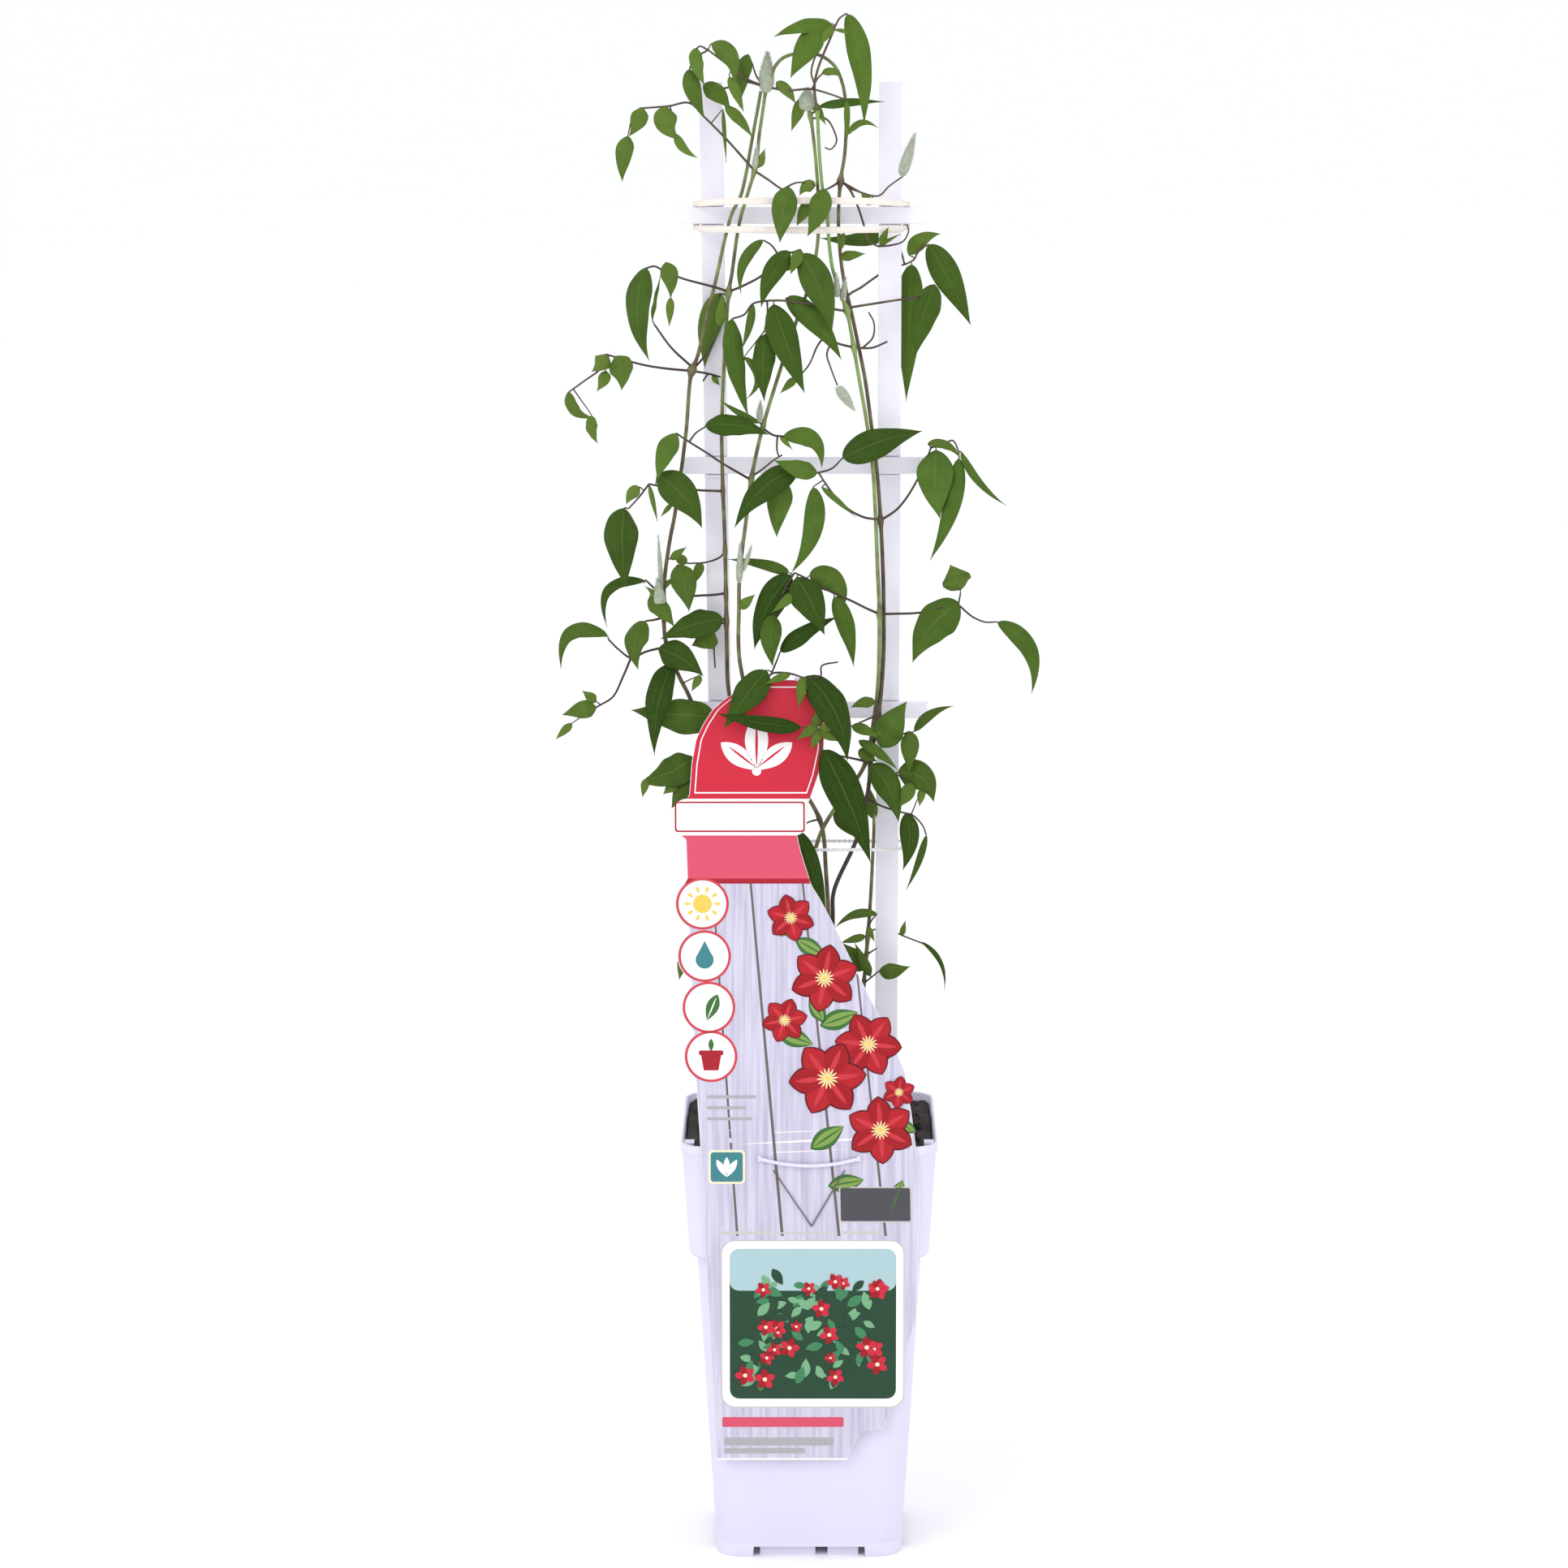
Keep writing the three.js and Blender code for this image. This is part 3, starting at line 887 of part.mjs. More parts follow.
// The nearest place to a point on the lines already grown
function nearest(lines, point) {
  let best = null;
  let least = Infinity;
  for (const line of lines) {
    for (const p of line) {
      const distance = p.distanceTo(point);
      if (distance < least) {
        least = distance;
        best = p;
      }
    }
  }
  return best.clone();
}

const STEM_SIDES = 5;
const TWIG_SIDES = 3;
const STEM_STEP = 18;
const STALK_STEP = 12;
const LINE_STEP = 0.8;
const ROOT_DEPTH = 2.5;
const ROOT_SHARE = 0.3;
const ROOT_REACH = 5;
const START_REACH = 4;
const FOOT_RISE = 6;
const FOOT_OVERLAP = 1.5;
const MERGE_REACH = 0.2;

// Points close together along the straight steps that a bar is built with
function sampled(points, stepLength) {
  const curve = curveOf(points);
  const corners = curve.getSpacedPoints(stepsOf(curve, stepLength));
  const line = [corners[0]];
  for (let i = 1; i < corners.length; i += 1) {
    const count = Math.ceil(corners[i].distanceTo(corners[i - 1]) / LINE_STEP);
    for (let k = 1; k <= count; k += 1) line.push(corners[i - 1].clone().lerp(corners[i], k / count));
  }
  return line;
}

// A stem with everything that grew on it, as one body
function leafyStem({ foot, route, twigs, blades }) {
  const [footX, footY] = foot;
  const low = new THREE.Vector3(footX, footY, STEM_BOTTOM);
  const ground = new THREE.Vector3(footX, footY, SOIL_HEIGHT + FOOT_RISE);
  const sunk = new THREE.Vector3(footX, footY, SOIL_HEIGHT + FOOT_RISE - FOOT_OVERLAP);
  const line = [sunk, ...route.map((p) => seen(...p))];
  const parts = [
    tube([low, ground], STEM_RADIUS, STEM_SIDES, STEM_STEP),
    tube(line, STEM_RADIUS, STEM_SIDES, STEM_STEP),
  ];
  const lines = [sampled(line, STEM_STEP)];
  for (const [radius, ...places] of twigs) {
    const points = places.map((p) => seen(...p));
    const anchor = nearest(lines, points[0]);
    if (anchor.distanceTo(points[0]) > START_REACH) points.unshift(anchor);
    else points[0] = anchor;
    parts.push(tube(points, radius, TWIG_SIDES, STALK_STEP));
    lines.push(sampled(points, STALK_STEP));
  }
  for (const row of blades) {
    const { length, point } = bladeLine(row);
    const anchor = nearest(lines, point(0));
    if (anchor.distanceTo(point(0)) < ROOT_REACH) {
      parts.push(blade(row, anchor));
      continue;
    }
    parts.push(blade(row, null));
    const socket = point(Math.min(ROOT_SHARE, ROOT_DEPTH / length));
    parts.push(tube([anchor, socket], FINE_RADIUS, TWIG_SIDES, STALK_STEP));
  }
  return wasm.Manifold.union(parts);
}

for (const stem of STEMS) {
  addPiece(stem.name, leafyStem(stem).simplify(MERGE_REACH), stem.colour, LEAF_WAX);
}

// Soil: a peat block that fills the pot, lumpy on top, with a plain hole for each thing in it
const SOIL_RING_SHARES = [0.975, 0.86, 0.68, 0.45, 0.2];
const LUMP_HEIGHT = 0.55;
const EDGE_DROP = 1.2;
const HOLE_SIDES = 12;
const soilCorner = CORNER_RADIUS - WALL - SOIL_GAP;
const soilRings = [
  squareRing(BODY_FOOT_HALF - WALL - SOIL_GAP, soilCorner, FLOOR_TOP),
  squareRing(BODY_TOP_HALF - WALL - SOIL_GAP, soilCorner, COLLAR_BOTTOM + WALL - 2 * SOIL_GAP),
  squareRing(COLLAR_FOOT_HALF - WALL - SOIL_GAP, soilCorner, COLLAR_BOTTOM + COLLAR_ROUND + WALL),
];
for (const share of SOIL_RING_SHARES) {
  const ring = squareRing(COLLAR_TOP_HALF - WALL, soilCorner, SOIL_HEIGHT);
  for (const p of ring) {
    p.x *= share;
    p.y *= share;
    const lump = Math.sin(p.x * 0.21 + 1.3) + Math.cos(p.y * 0.17 - 0.6) + Math.sin((p.x + p.y) * 0.11);
    p.z += LUMP_HEIGHT * lump - (share === SOIL_RING_SHARES[0] ? EDGE_DROP : 0);
  }
  soilRings.push(ring);
}
let soil = loft(soilRings);
for (const { foot } of STEMS) {
  const [x, y] = foot;
  const radius = (STEM_RADIUS + HOLE_GAP) / Math.cos(Math.PI / HOLE_SIDES);
  const depth = RIM_HEIGHT - STEM_BOTTOM + HOLE_GAP;
  const hole = new THREE.CylinderGeometry(radius, radius, depth, HOLE_SIDES);
  hole.rotateX(Math.PI / 2);
  hole.translate(x, y, RIM_HEIGHT - depth / 2);
  soil = soil.subtract(solid(hole));
}
for (const [top, bottom] of [[LEFT_TOP, LEFT_BOTTOM], [RIGHT_TOP, RIGHT_BOTTOM]]) {
  const outline = uprightOutline(top, bottom, HOLE_GAP);
  soil = soil.subtract(plate(outline, UPRIGHT_FRONT - HOLE_GAP, UPRIGHT_BACK + HOLE_GAP));
}
const [stakeLeft, stakeRight, stakeFront, stakeBack] = stakeEdges;
soil = soil.subtract(box(
  stakeLeft - HOLE_GAP, stakeRight + HOLE_GAP, stakeFront - HOLE_GAP, stakeBack + HOLE_GAP,
  STAKE_BOTTOM - HOLE_GAP, RIM_HEIGHT,
));
addPiece("soil", soil, PEAT_BROWN, CRUMBLY);

export default group;
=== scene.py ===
import math

import bmesh
import bpy
import numpy as np
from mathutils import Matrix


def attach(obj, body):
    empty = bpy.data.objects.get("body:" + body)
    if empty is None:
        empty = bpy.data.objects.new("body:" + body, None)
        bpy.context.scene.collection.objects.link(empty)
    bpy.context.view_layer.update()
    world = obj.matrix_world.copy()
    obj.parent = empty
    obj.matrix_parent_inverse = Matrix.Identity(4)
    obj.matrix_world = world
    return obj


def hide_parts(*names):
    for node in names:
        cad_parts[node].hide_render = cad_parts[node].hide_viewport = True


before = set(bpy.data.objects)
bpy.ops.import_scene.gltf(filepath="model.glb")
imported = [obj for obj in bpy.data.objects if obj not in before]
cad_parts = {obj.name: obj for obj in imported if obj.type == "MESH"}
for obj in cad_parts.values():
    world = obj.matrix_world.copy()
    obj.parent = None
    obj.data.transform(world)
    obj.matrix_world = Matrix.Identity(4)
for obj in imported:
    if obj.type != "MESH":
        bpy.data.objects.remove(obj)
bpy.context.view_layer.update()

# Camera: the photograph's long lens, standing 2.6 m in front of the plant at 0.8 m above its foot
# and looking a little down. Places on the plant are measured as seen from here.
EYE_DISTANCE = 2600.0
EYE_HEIGHT = 805.0
LOOK_DOWN = 9.387

camera_data = bpy.data.cameras.new("camera")
camera_data.sensor_width = 36.0
camera_data.lens = 124.62
camera_data.shift_x = -0.01605
camera = bpy.data.objects.new("camera", camera_data)
camera.location = (0.0, -EYE_DISTANCE * 0.001, EYE_HEIGHT * 0.001)
camera.rotation_euler = (math.radians(90.0 - LOOK_DOWN), 0.0, 0.0)
bpy.context.scene.collection.objects.link(camera)
bpy.context.scene.camera = camera


# Studio: a pale matt floor that runs on to the horizon, a bright even sky, and two wide soft lamps.
# Nothing of it belongs to the plant.
def linear(code):
    """An sRGB hex colour as linear red, green, blue: (c + 0.055) / 1.055 to the power 2.4 above 0.04."""
    parts = np.array([int(code[i:i + 2], 16) for i in (1, 3, 5)]) / 255.0
    low = parts / 12.92
    high = ((parts + 0.055) / 1.055) ** 2.4
    return tuple(np.where(parts > 0.04045, high, low)) + (1.0,)


def add(tree, kind, inputs=None, **settings):
    """One node of a kind, its settings, and its inputs: a value is set, an output socket is linked."""
    node = tree.nodes.new(kind)
    for name, value in settings.items():
        setattr(node, name, value)
    for name, value in (inputs or {}).items():
        if isinstance(value, bpy.types.NodeSocket):
            tree.links.new(value, node.inputs[name])
        else:
            node.inputs[name].default_value = value
    return node


def new_material(name):
    """An empty node material with its surface output; gives the material, its tree and the output."""
    material = bpy.data.materials.new(name)
    material.use_nodes = True
    material.node_tree.nodes.clear()
    output = add(material.node_tree, "ShaderNodeOutputMaterial")
    return material, material.node_tree, output


def solid_noise(tree, scale, detail):
    """Smooth noise through the solid itself, with about as many lumps to the metre as scale says."""
    place = add(tree, "ShaderNodeTexCoord")
    inputs = {"Vector": place.outputs["Object"], "Scale": scale, "Detail": detail}
    return add(tree, "ShaderNodeTexNoise", inputs).outputs["Fac"]


def between(tree, share, first, second):
    """A colour at a share of the way from the first to the second, each an output or a hex colour."""
    ends = [linear(end) if isinstance(end, str) else end for end in (first, second)]
    inputs = {"Factor": share, "A": ends[0], "B": ends[1]}
    return add(tree, "ShaderNodeMix", inputs, data_type="RGBA").outputs["Result"]


def ramp(tree, share, *stops):
    """A colour ramp through stops of place and hex colour, the lowest first."""
    node = add(tree, "ShaderNodeValToRGB", {"Fac": share})
    row = node.color_ramp.elements
    for stop, (place, code) in zip((row[0], row[1]), (stops[0], stops[-1])):
        stop.position, stop.color = place, linear(code)
    for place, code in stops[1:-1]:
        row.new(place).color = linear(code)
    return node.outputs["Color"]


def mapped(tree, value, from_low, from_high, to_low, to_high):
    """A value carried over in a straight line from one span to another, and held at its ends."""
    inputs = {"From Min": from_low, "From Max": from_high, "To Min": to_low, "To Max": to_high}
    return add(tree, "ShaderNodeMapRange", {"Value": value, **inputs}).outputs["Result"]


def relief(tree, height, strength, depth):
    """The surface direction for a height from 0 to 1 that stands for a depth in metres."""
    inputs = {"Height": height, "Strength": strength, "Distance": depth}
    return add(tree, "ShaderNodeBump", inputs).outputs["Normal"]


def surface(tree, output, colour, roughness, **more):
    """The shader that ends a material; more inputs are named with _ for a space."""
    inputs = {name.replace("_", " "): value for name, value in more.items()}
    shader = add(tree, "ShaderNodeBsdfPrincipled", {"Base Color": colour, "Roughness": roughness, **inputs})
    tree.links.new(shader.outputs["BSDF"], output.inputs["Surface"])


def put_mesh(name, points, faces, materials, smooth=True):
    """A mesh object at the origin from rows of points in millimetres and rows of corner numbers."""
    mesh = bpy.data.meshes.new(name)
    points = np.asarray(points, float).reshape(-1, 3) * 0.001
    mesh.vertices.add(len(points))
    mesh.vertices.foreach_set("co", points.astype(np.float32).ravel())
    sizes = np.concatenate([np.full(len(rows), np.asarray(rows).shape[1]) for rows in faces])
    corners = np.concatenate([np.asarray(rows).ravel() for rows in faces]).astype(np.int32)
    starts = np.concatenate([[0], np.cumsum(sizes)[:-1]]).astype(np.int32)
    mesh.loops.add(len(corners))
    mesh.loops.foreach_set("vertex_index", corners)
    mesh.polygons.add(len(sizes))
    mesh.polygons.foreach_set("loop_start", starts)
    mesh.polygons.foreach_set("use_smooth", np.full(len(sizes), smooth))
    mesh.update(calc_edges=True)
    mesh.validate()
    for material in materials:
        mesh.materials.append(material)
    piece = bpy.data.objects.new(name, mesh)
    bpy.context.scene.collection.objects.link(piece)
    return piece


def soft_lamp(name, place, target, size, watts):
    """An area lamp at a place in metres that faces a target."""
    lamp = bpy.data.lights.new(name, "AREA")
    lamp.shape = "RECTANGLE"
    lamp.size, lamp.size_y = size
    lamp.energy = watts
    holder = bpy.data.objects.new(name, lamp)
    holder.location = place
    direction = np.array(target) - np.array(place)
    flat = math.hypot(direction[0], direction[1])
    turn = math.atan2(direction[1], direction[0]) - math.pi / 2
    holder.rotation_euler = (math.atan2(flat, -direction[2]), 0.0, turn)
    bpy.context.scene.collection.objects.link(holder)


# Matt white paint, hardly uneven.
floor_material, tree, output = new_material("pale_floor_paint")
surface(tree, output, between(tree, solid_noise(tree, 3.0, 2.0), "#fcfcfd", "#fdfdfd"), 0.9)
FLOOR_REACH = 90000.0
floor_points = FLOOR_REACH * np.array([[-1, -1, 0], [1, -1, 0], [1, 1, 0], [-1, 1, 0]])
floor = put_mesh("floor", floor_points, [[[0, 1, 2, 3]]], [floor_material], smooth=False)

SKY_STRENGTH = 1.05
world = bpy.data.worlds.new("studio_sky")
world.use_nodes = True
world.node_tree.nodes["Background"].inputs["Color"].default_value = linear("#fbfcff")
world.node_tree.nodes["Background"].inputs["Strength"].default_value = SKY_STRENGTH
bpy.context.scene.world = world
bpy.context.scene.view_settings.view_transform = "Standard"
soft_lamp("key_lamp", place=(-1.3, -2.0, 1.9), target=(0.0, 0.0, 0.4), size=(1.4, 1.4), watts=17.0)
soft_lamp("fill_lamp", place=(1.6, -1.4, 1.2), target=(0.0, 0.0, 0.35), size=(1.2, 1.2), watts=5.0)


# Pot: a square nursery pot of white polypropylene, injection moulded in one piece: a tapered body,
# a wider collar with a rolled rim, feet between four notches, and a bowed label strap in front.
RIM_HEIGHT = 209.0
WALL = 1.4
CORNER_RADIUS = 13.0
NOTCH_HALF = 27.0
NOTCH_HEIGHT = 5.0
NOTCH_EDGE = 0.4
FOOT_INSIDE = 43.7
STRAP_HALF = 24.0
STRAP_FRONT = -64.5
STRAP_HEIGHT = 204.0
STRAP_SAG = 3.6
STRAP_RADIUS = 0.9
STRAP_STATIONS = 33
STRAP_LEG_BACK = -60.4
LUG_SIDES = (55.4, 60.2)
LUG_BOX = (-50.0, -42.0, 205.2, 208.2)
PAD_SIDES = ((-24.0, 3.0), (9.0, 24.0))
PAD_BOX = (-41.5, 22.0, 0.0, 5.5)
# half width and height, up the outside, over the rim and down the inside
POT_OUTSIDE = [
    (43.6, 5.0), (43.6, 0.2), (43.9, 0.0), (44.7, 0.0), (45.0, 0.4), (45.35, 6.5), (45.22, 6.9), (45.42, 7.3),
    (50.0, 80.0), (54.1, 149.8), (54.25, 151.0), (54.7, 151.6), (55.8, 151.9), (57.0, 152.2), (57.7, 152.9),
    (58.0, 154.2), (59.6, 180.0), (61.1, 203.3), (61.3, 203.9), (61.72, 204.3), (61.9, 205.0),
    (61.9, 208.0), (61.75, 208.6), (61.4, 208.95), (61.0, 208.95), (60.6, 208.6), (60.4, 207.6),
    (59.7, 202.0), (56.7, 155.2), (55.6, 153.4), (53.0, 152.8), (52.7, 151.6), (43.7, 8.0), (43.2, 7.0),
    (40.0, 7.0),
]


def square_ring(half, radius, arc=12):
    """A square with round corners, as x, y rows: four sides with points at the notch edges, then arcs."""
    notch = NOTCH_HALF + NOTCH_EDGE
    along = np.array([-notch, -NOTCH_HALF, -NOTCH_HALF / 3, NOTCH_HALF / 3, NOTCH_HALF, notch])
    side = np.stack([np.full(len(along), half), along], -1)
    angle = np.linspace(0.0, math.pi / 2, arc + 1)
    corner = (half - radius) + radius * np.stack([np.cos(angle), np.sin(angle)], -1)
    quarter = np.concatenate([side, corner])
    turns = [np.array([[0, 1], [-1, 0]]), np.array([[-1, 0], [0, -1]]), np.array([[0, -1], [1, 0]])]
    return np.concatenate([quarter] + [quarter @ turn for turn in turns])


def skin(rings, closed_around=True, closed_along=False):
    """Corner numbers of the quads between rows of points, shape (rows, points per row)."""
    rows, count = rings
    lengths, widths = np.arange(rows - (not closed_along)), np.arange(count - (not closed_around))
    i, j = (grid.ravel() for grid in np.meshgrid(lengths, widths, indexing="ij"))
    up, over = (i + 1) % rows, (j + 1) % count
    return np.stack([i * count + j, i * count + over, up * count + over, up * count + j], -1)


def end_caps(rows, count):
    """Two many-sided faces that close the first and the last row of a skin."""
    first = np.arange(count)[::-1]
    return [first[None, :], (np.arange(count) + (rows - 1) * count)[None, :]]


def block(x0, x1, y0, y1, z0, z1):
    """A box as eight points and six faces that point outwards."""
    points = [[x, y, z] for z in (z0, z1) for y in (y0, y1) for x in (x0, x1)]
    faces = [[0, 2, 3, 1], [4, 5, 7, 6], [0, 1, 5, 4], [2, 6, 7, 3], [0, 4, 6, 2], [1, 3, 7, 5]]
    return np.array(points, float), [np.array(faces)]


def gathered(parts):
    """Several (points, face lists) as one, with the corner numbers moved on."""
    points, faces, start = [], [], 0
    for part_points, part_faces in parts:
        points.append(part_points.reshape(-1, 3))
        faces += [rows + start for rows in part_faces]
        start += len(points[-1])
    return np.concatenate(points), faces


def unit(directions):
    """Directions made one long: each row over the root of the sum of its squares."""
    return directions / np.linalg.norm(directions, axis=-1, keepdims=True)


def walked_along(line):
    """How far along a line each of its points is."""
    return np.concatenate([[0.0], np.cumsum(np.linalg.norm(np.diff(line, axis=0), axis=1))])


def smooth_line(places, step, closed=False):
    """Centripetal Catmull-Rom curve through places, cut into equal steps of about the given length."""
    p = np.asarray(places, float)
    if len(p) == 2:
        p = np.stack([p[0], (p[0] + p[1]) / 2, p[1]])
    if closed:
        p = np.concatenate([p[-1:], p, p[:2]])
    else:
        p = np.concatenate([2 * p[:1] - p[1:2], p, 2 * p[-1:] - p[-2:-1]])
    gap = np.maximum(np.linalg.norm(np.diff(p, axis=0), axis=1), 1e-6) ** 0.5
    d0, d1, d2 = gap[:-2, None], gap[1:-1, None], gap[2:, None]
    a, b, c, d = p[:-3], p[1:-2], p[2:-1], p[3:]
    leave = ((b - a) / d0 - (c - a) / (d0 + d1) + (c - b) / d1) * d1
    arrive = ((c - b) / d1 - (d - b) / (d1 + d2) + (d - c) / d2) * d1
    u = np.linspace(0.0, 1.0, 24, endpoint=False)[None, :, None]
    bend = (2 * u**3 - 3 * u**2 + 1) * b[:, None] + (u**3 - 2 * u**2 + u) * leave[:, None]
    bend = bend + (3 * u**2 - 2 * u**3) * c[:, None] + (u**3 - u**2) * arrive[:, None]
    line = np.concatenate([bend.reshape(-1, 3), c[-1:]])
    walked = walked_along(line)
    count = max(3, int(math.ceil(walked[-1] / step)) + 1)
    at = np.linspace(0.0, walked[-1], count)
    even = np.stack([np.interp(at, walked, line[:, k]) for k in range(3)], -1)
    return even[:-1] if closed else even


def swept(line, sections, toward, closed=False):
    """A bar along a line. Each point has a section, rows of (across, out); out is turned to face toward."""
    ahead = np.roll(line, -1, 0) - np.roll(line, 1, 0)
    if not closed:
        ahead[0], ahead[-1] = line[1] - line[0], line[-1] - line[-2]
    ahead = unit(ahead)
    out = unit(toward - ahead * np.sum(toward * ahead, axis=1, keepdims=True))
    across = np.cross(out, ahead)
    rings = line[:, None] + across[:, None] * sections[..., :1] + out[:, None] * sections[..., 1:]
    rows, count = rings.shape[:2]
    faces = [skin((rows, count), True, closed)]
    if not closed:
        faces += end_caps(rows, count)
    return rings.reshape(-1, 3), faces


def round_section(radius, sides, count):
    """The same circle for every point of a line, or one radius per point."""
    angle = np.arange(sides) * (2 * math.pi / sides)
    circle = np.stack([np.cos(angle), np.sin(angle)], -1)
    return np.broadcast_to(circle, (count, sides, 2)) * np.reshape(np.broadcast_to(radius, count), (-1, 1, 1))


pot_rings = []
for half, height in POT_OUTSIDE:
    ring = square_ring(half, CORNER_RADIUS - (WALL if half <= FOOT_INSIDE else 0.0))
    cross = np.minimum(np.abs(ring[:, 0]), np.abs(ring[:, 1]))
    z = np.full(len(ring), height)
    if height < NOTCH_HEIGHT:
        z = np.where(cross <= NOTCH_HALF + 1e-6, NOTCH_HEIGHT, height)
    pot_rings.append(np.column_stack([ring, z]))
pot_rings = np.array(pot_rings)
rows, count = pot_rings.shape[:2]
pot_shell = (pot_rings, [skin((rows, count))] + end_caps(rows, count))
u = np.linspace(-1.0, 1.0, STRAP_STATIONS)
strap_height = STRAP_HEIGHT - STRAP_SAG * (1 - u**2)
strap_line = np.column_stack([u * STRAP_HALF, np.full(STRAP_STATIONS, STRAP_FRONT), strap_height])
strap = swept(strap_line, round_section(STRAP_RADIUS, 12, STRAP_STATIONS), np.array([[0.0, -1.0, 0.0]]))
strap_legs = [
    block(x - 0.8, x + 0.8, STRAP_FRONT - 0.6, STRAP_LEG_BACK, STRAP_HEIGHT - 1.2, STRAP_HEIGHT + 1.2)
    for x in (-STRAP_HALF + 0.2, STRAP_HALF - 0.2)
]
lugs = [block(*sorted((side * LUG_SIDES[0], side * LUG_SIDES[1])), *LUG_BOX) for side in (-1, 1)]
pads = [block(*sides, *PAD_BOX) for sides in PAD_SIDES]

# Polypropylene, moulded in a fine spark-eroded mould: milky white with a cool cast, a soft sheen,
# and a very fine grain, drawn at 0.6 mm so that it shows at all.
PLASTIC_IOR = 1.49
pot_material, tree, output = new_material("moulded_white_polypropylene")
colour = between(tree, solid_noise(tree, 22.0, 3.0), "#d7d3e8", "#e0ddef")
grain = relief(tree, solid_noise(tree, 1600.0, 1.0), 0.12, 0.0002)
surface(tree, output, colour, 0.42, IOR=PLASTIC_IOR, Normal=grain,
        Subsurface_Weight=0.12, Subsurface_Radius=(0.004, 0.004, 0.005))

points, faces = gathered([pot_shell, strap] + strap_legs + lugs + pads)
pot = put_mesh("white_pot", points, faces, [pot_material])
bpy.context.view_layer.objects.active = pot
pot.data.set_sharp_from_angle(angle=math.radians(38.0))
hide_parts("pot")
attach(pot, "root")


# Soil: dark moist peat with coarse crumbs, pressed into the pot and a few millimetres below the rim.
# Its top is a grid raised by summed waves, with crumbs lying on it.
SOIL_HEIGHT = 202.5
SOIL_RISE = 3.6
SOIL_HALF = 59.4
SOIL_CORNER = 11.0
SOIL_WALLS = [(43.3, 7.0), (52.4, 151.0), (56.2, 155.4), (59.2, 201.0)]
SOIL_RINGS = 45
CRUMBS = 700
CRUMB_REACH = 54.0
rng = np.random.default_rng(4)


def lumps(x, y, scale, seed):
    """Smooth value noise from -1 to 1: a grid of seeded values, blended by the cosine rule."""
    table = np.random.default_rng(seed).uniform(-1, 1, (64, 64))
    gx, gy = x / scale + 31.0, y / scale + 31.0
    ix, iy = np.floor(gx).astype(int), np.floor(gy).astype(int)
    fx, fy = 0.5 - 0.5 * np.cos((gx - ix) * math.pi), 0.5 - 0.5 * np.cos((gy - iy) * math.pi)
    a, b = table[ix % 64, iy % 64], table[(ix + 1) % 64, iy % 64]
    c, d = table[ix % 64, (iy + 1) % 64], table[(ix + 1) % 64, (iy + 1) % 64]
    return (a * (1 - fx) + b * fx) * (1 - fy) + (c * (1 - fx) + d * fx) * fy


def soil_top(x, y):
    """Height of the peat: broad waves, lumps of 7, 3 and 1.4 mm, and a slope up to the pot's walls."""
    waves = 0.55 * (np.sin(x * 0.21 + 1.3) + np.cos(y * 0.17 - 0.6) + np.sin((x + y) * 0.11))
    fine = 1.0 * lumps(x, y, 7.0, 1) + 0.7 * lumps(x, y, 3.0, 2) + 0.45 * lumps(x, y, 1.4, 3)
    from_middle = np.maximum(np.abs(x), np.abs(y))
    outward = np.clip((from_middle - 36.0) / 20.0, 0.0, 1.0)
    slope = SOIL_RISE * outward**2 * (3 - 2 * outward)
    return np.minimum(SOIL_HEIGHT + waves + fine + slope, RIM_HEIGHT - 0.9)


def crumbs(centres, sizes, seed):
    """Eight-faced lumps of given sizes at centres, each with its corners pushed about."""
    corners = np.array([[1, 0, 0], [0, 1, 0], [-1, 0, 0], [0, -1, 0], [0, 0, 1], [0, 0, -1]], float)
    faces = np.array([[0, 1, 4], [1, 2, 4], [2, 3, 4], [3, 0, 4], [1, 0, 5], [2, 1, 5], [3, 2, 5], [0, 3, 5]])
    push = np.random.default_rng(seed).uniform(0.55, 1.25, (len(centres), 6, 1))
    points = centres[:, None] + corners[None] * push * sizes[:, None, None]
    return points.reshape(-1, 3), [(faces[None] + 6 * np.arange(len(centres))[:, None, None]).reshape(-1, 3)]


shares = np.linspace(0.998, 0.0, SOIL_RINGS + 1)[:-1]
top = square_ring(SOIL_HALF, SOIL_CORNER, 24)[None] * shares[:, None, None]
top_rings = np.concatenate([top, soil_top(top[..., 0], top[..., 1])[..., None]], -1)
wall_rings = [square_ring(half, SOIL_CORNER, 24) for half, _ in SOIL_WALLS]
wall_rings = [np.column_stack([ring, np.full(len(ring), z)]) for ring, (_, z) in zip(wall_rings, SOIL_WALLS)]
soil_rings = np.concatenate([np.array(wall_rings), top_rings])
rows, count = soil_rings.shape[:2]
soil_body = (soil_rings, [skin((rows, count))] + end_caps(rows, count))
crumb_xy = rng.uniform(-CRUMB_REACH, CRUMB_REACH, (CRUMBS, 2))
crumb_size = rng.uniform(0.5, 1.7, CRUMBS)
crumb_z = soil_top(crumb_xy[:, 0], crumb_xy[:, 1]) + crumb_size * 0.3
soil_crumbs = crumbs(np.column_stack([crumb_xy, crumb_z]), crumb_size, 5)

# Moist peat: near black brown, rough, with lighter fibres of 2 mm.
soil_material, tree, output = new_material("moist_peat")
fibre = solid_noise(tree, 420.0, 5.0)
colour = ramp(tree, fibre, (0.35, "#120d0d"), (0.75, "#33271f"))
surface(tree, output, colour, 0.95, Normal=relief(tree, fibre, 0.8, 0.0008))
points, faces = gathered([soil_body, soil_crumbs])
soil = put_mesh("peat", points, faces, [soil_material])
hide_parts("soil")
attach(soil, "root")


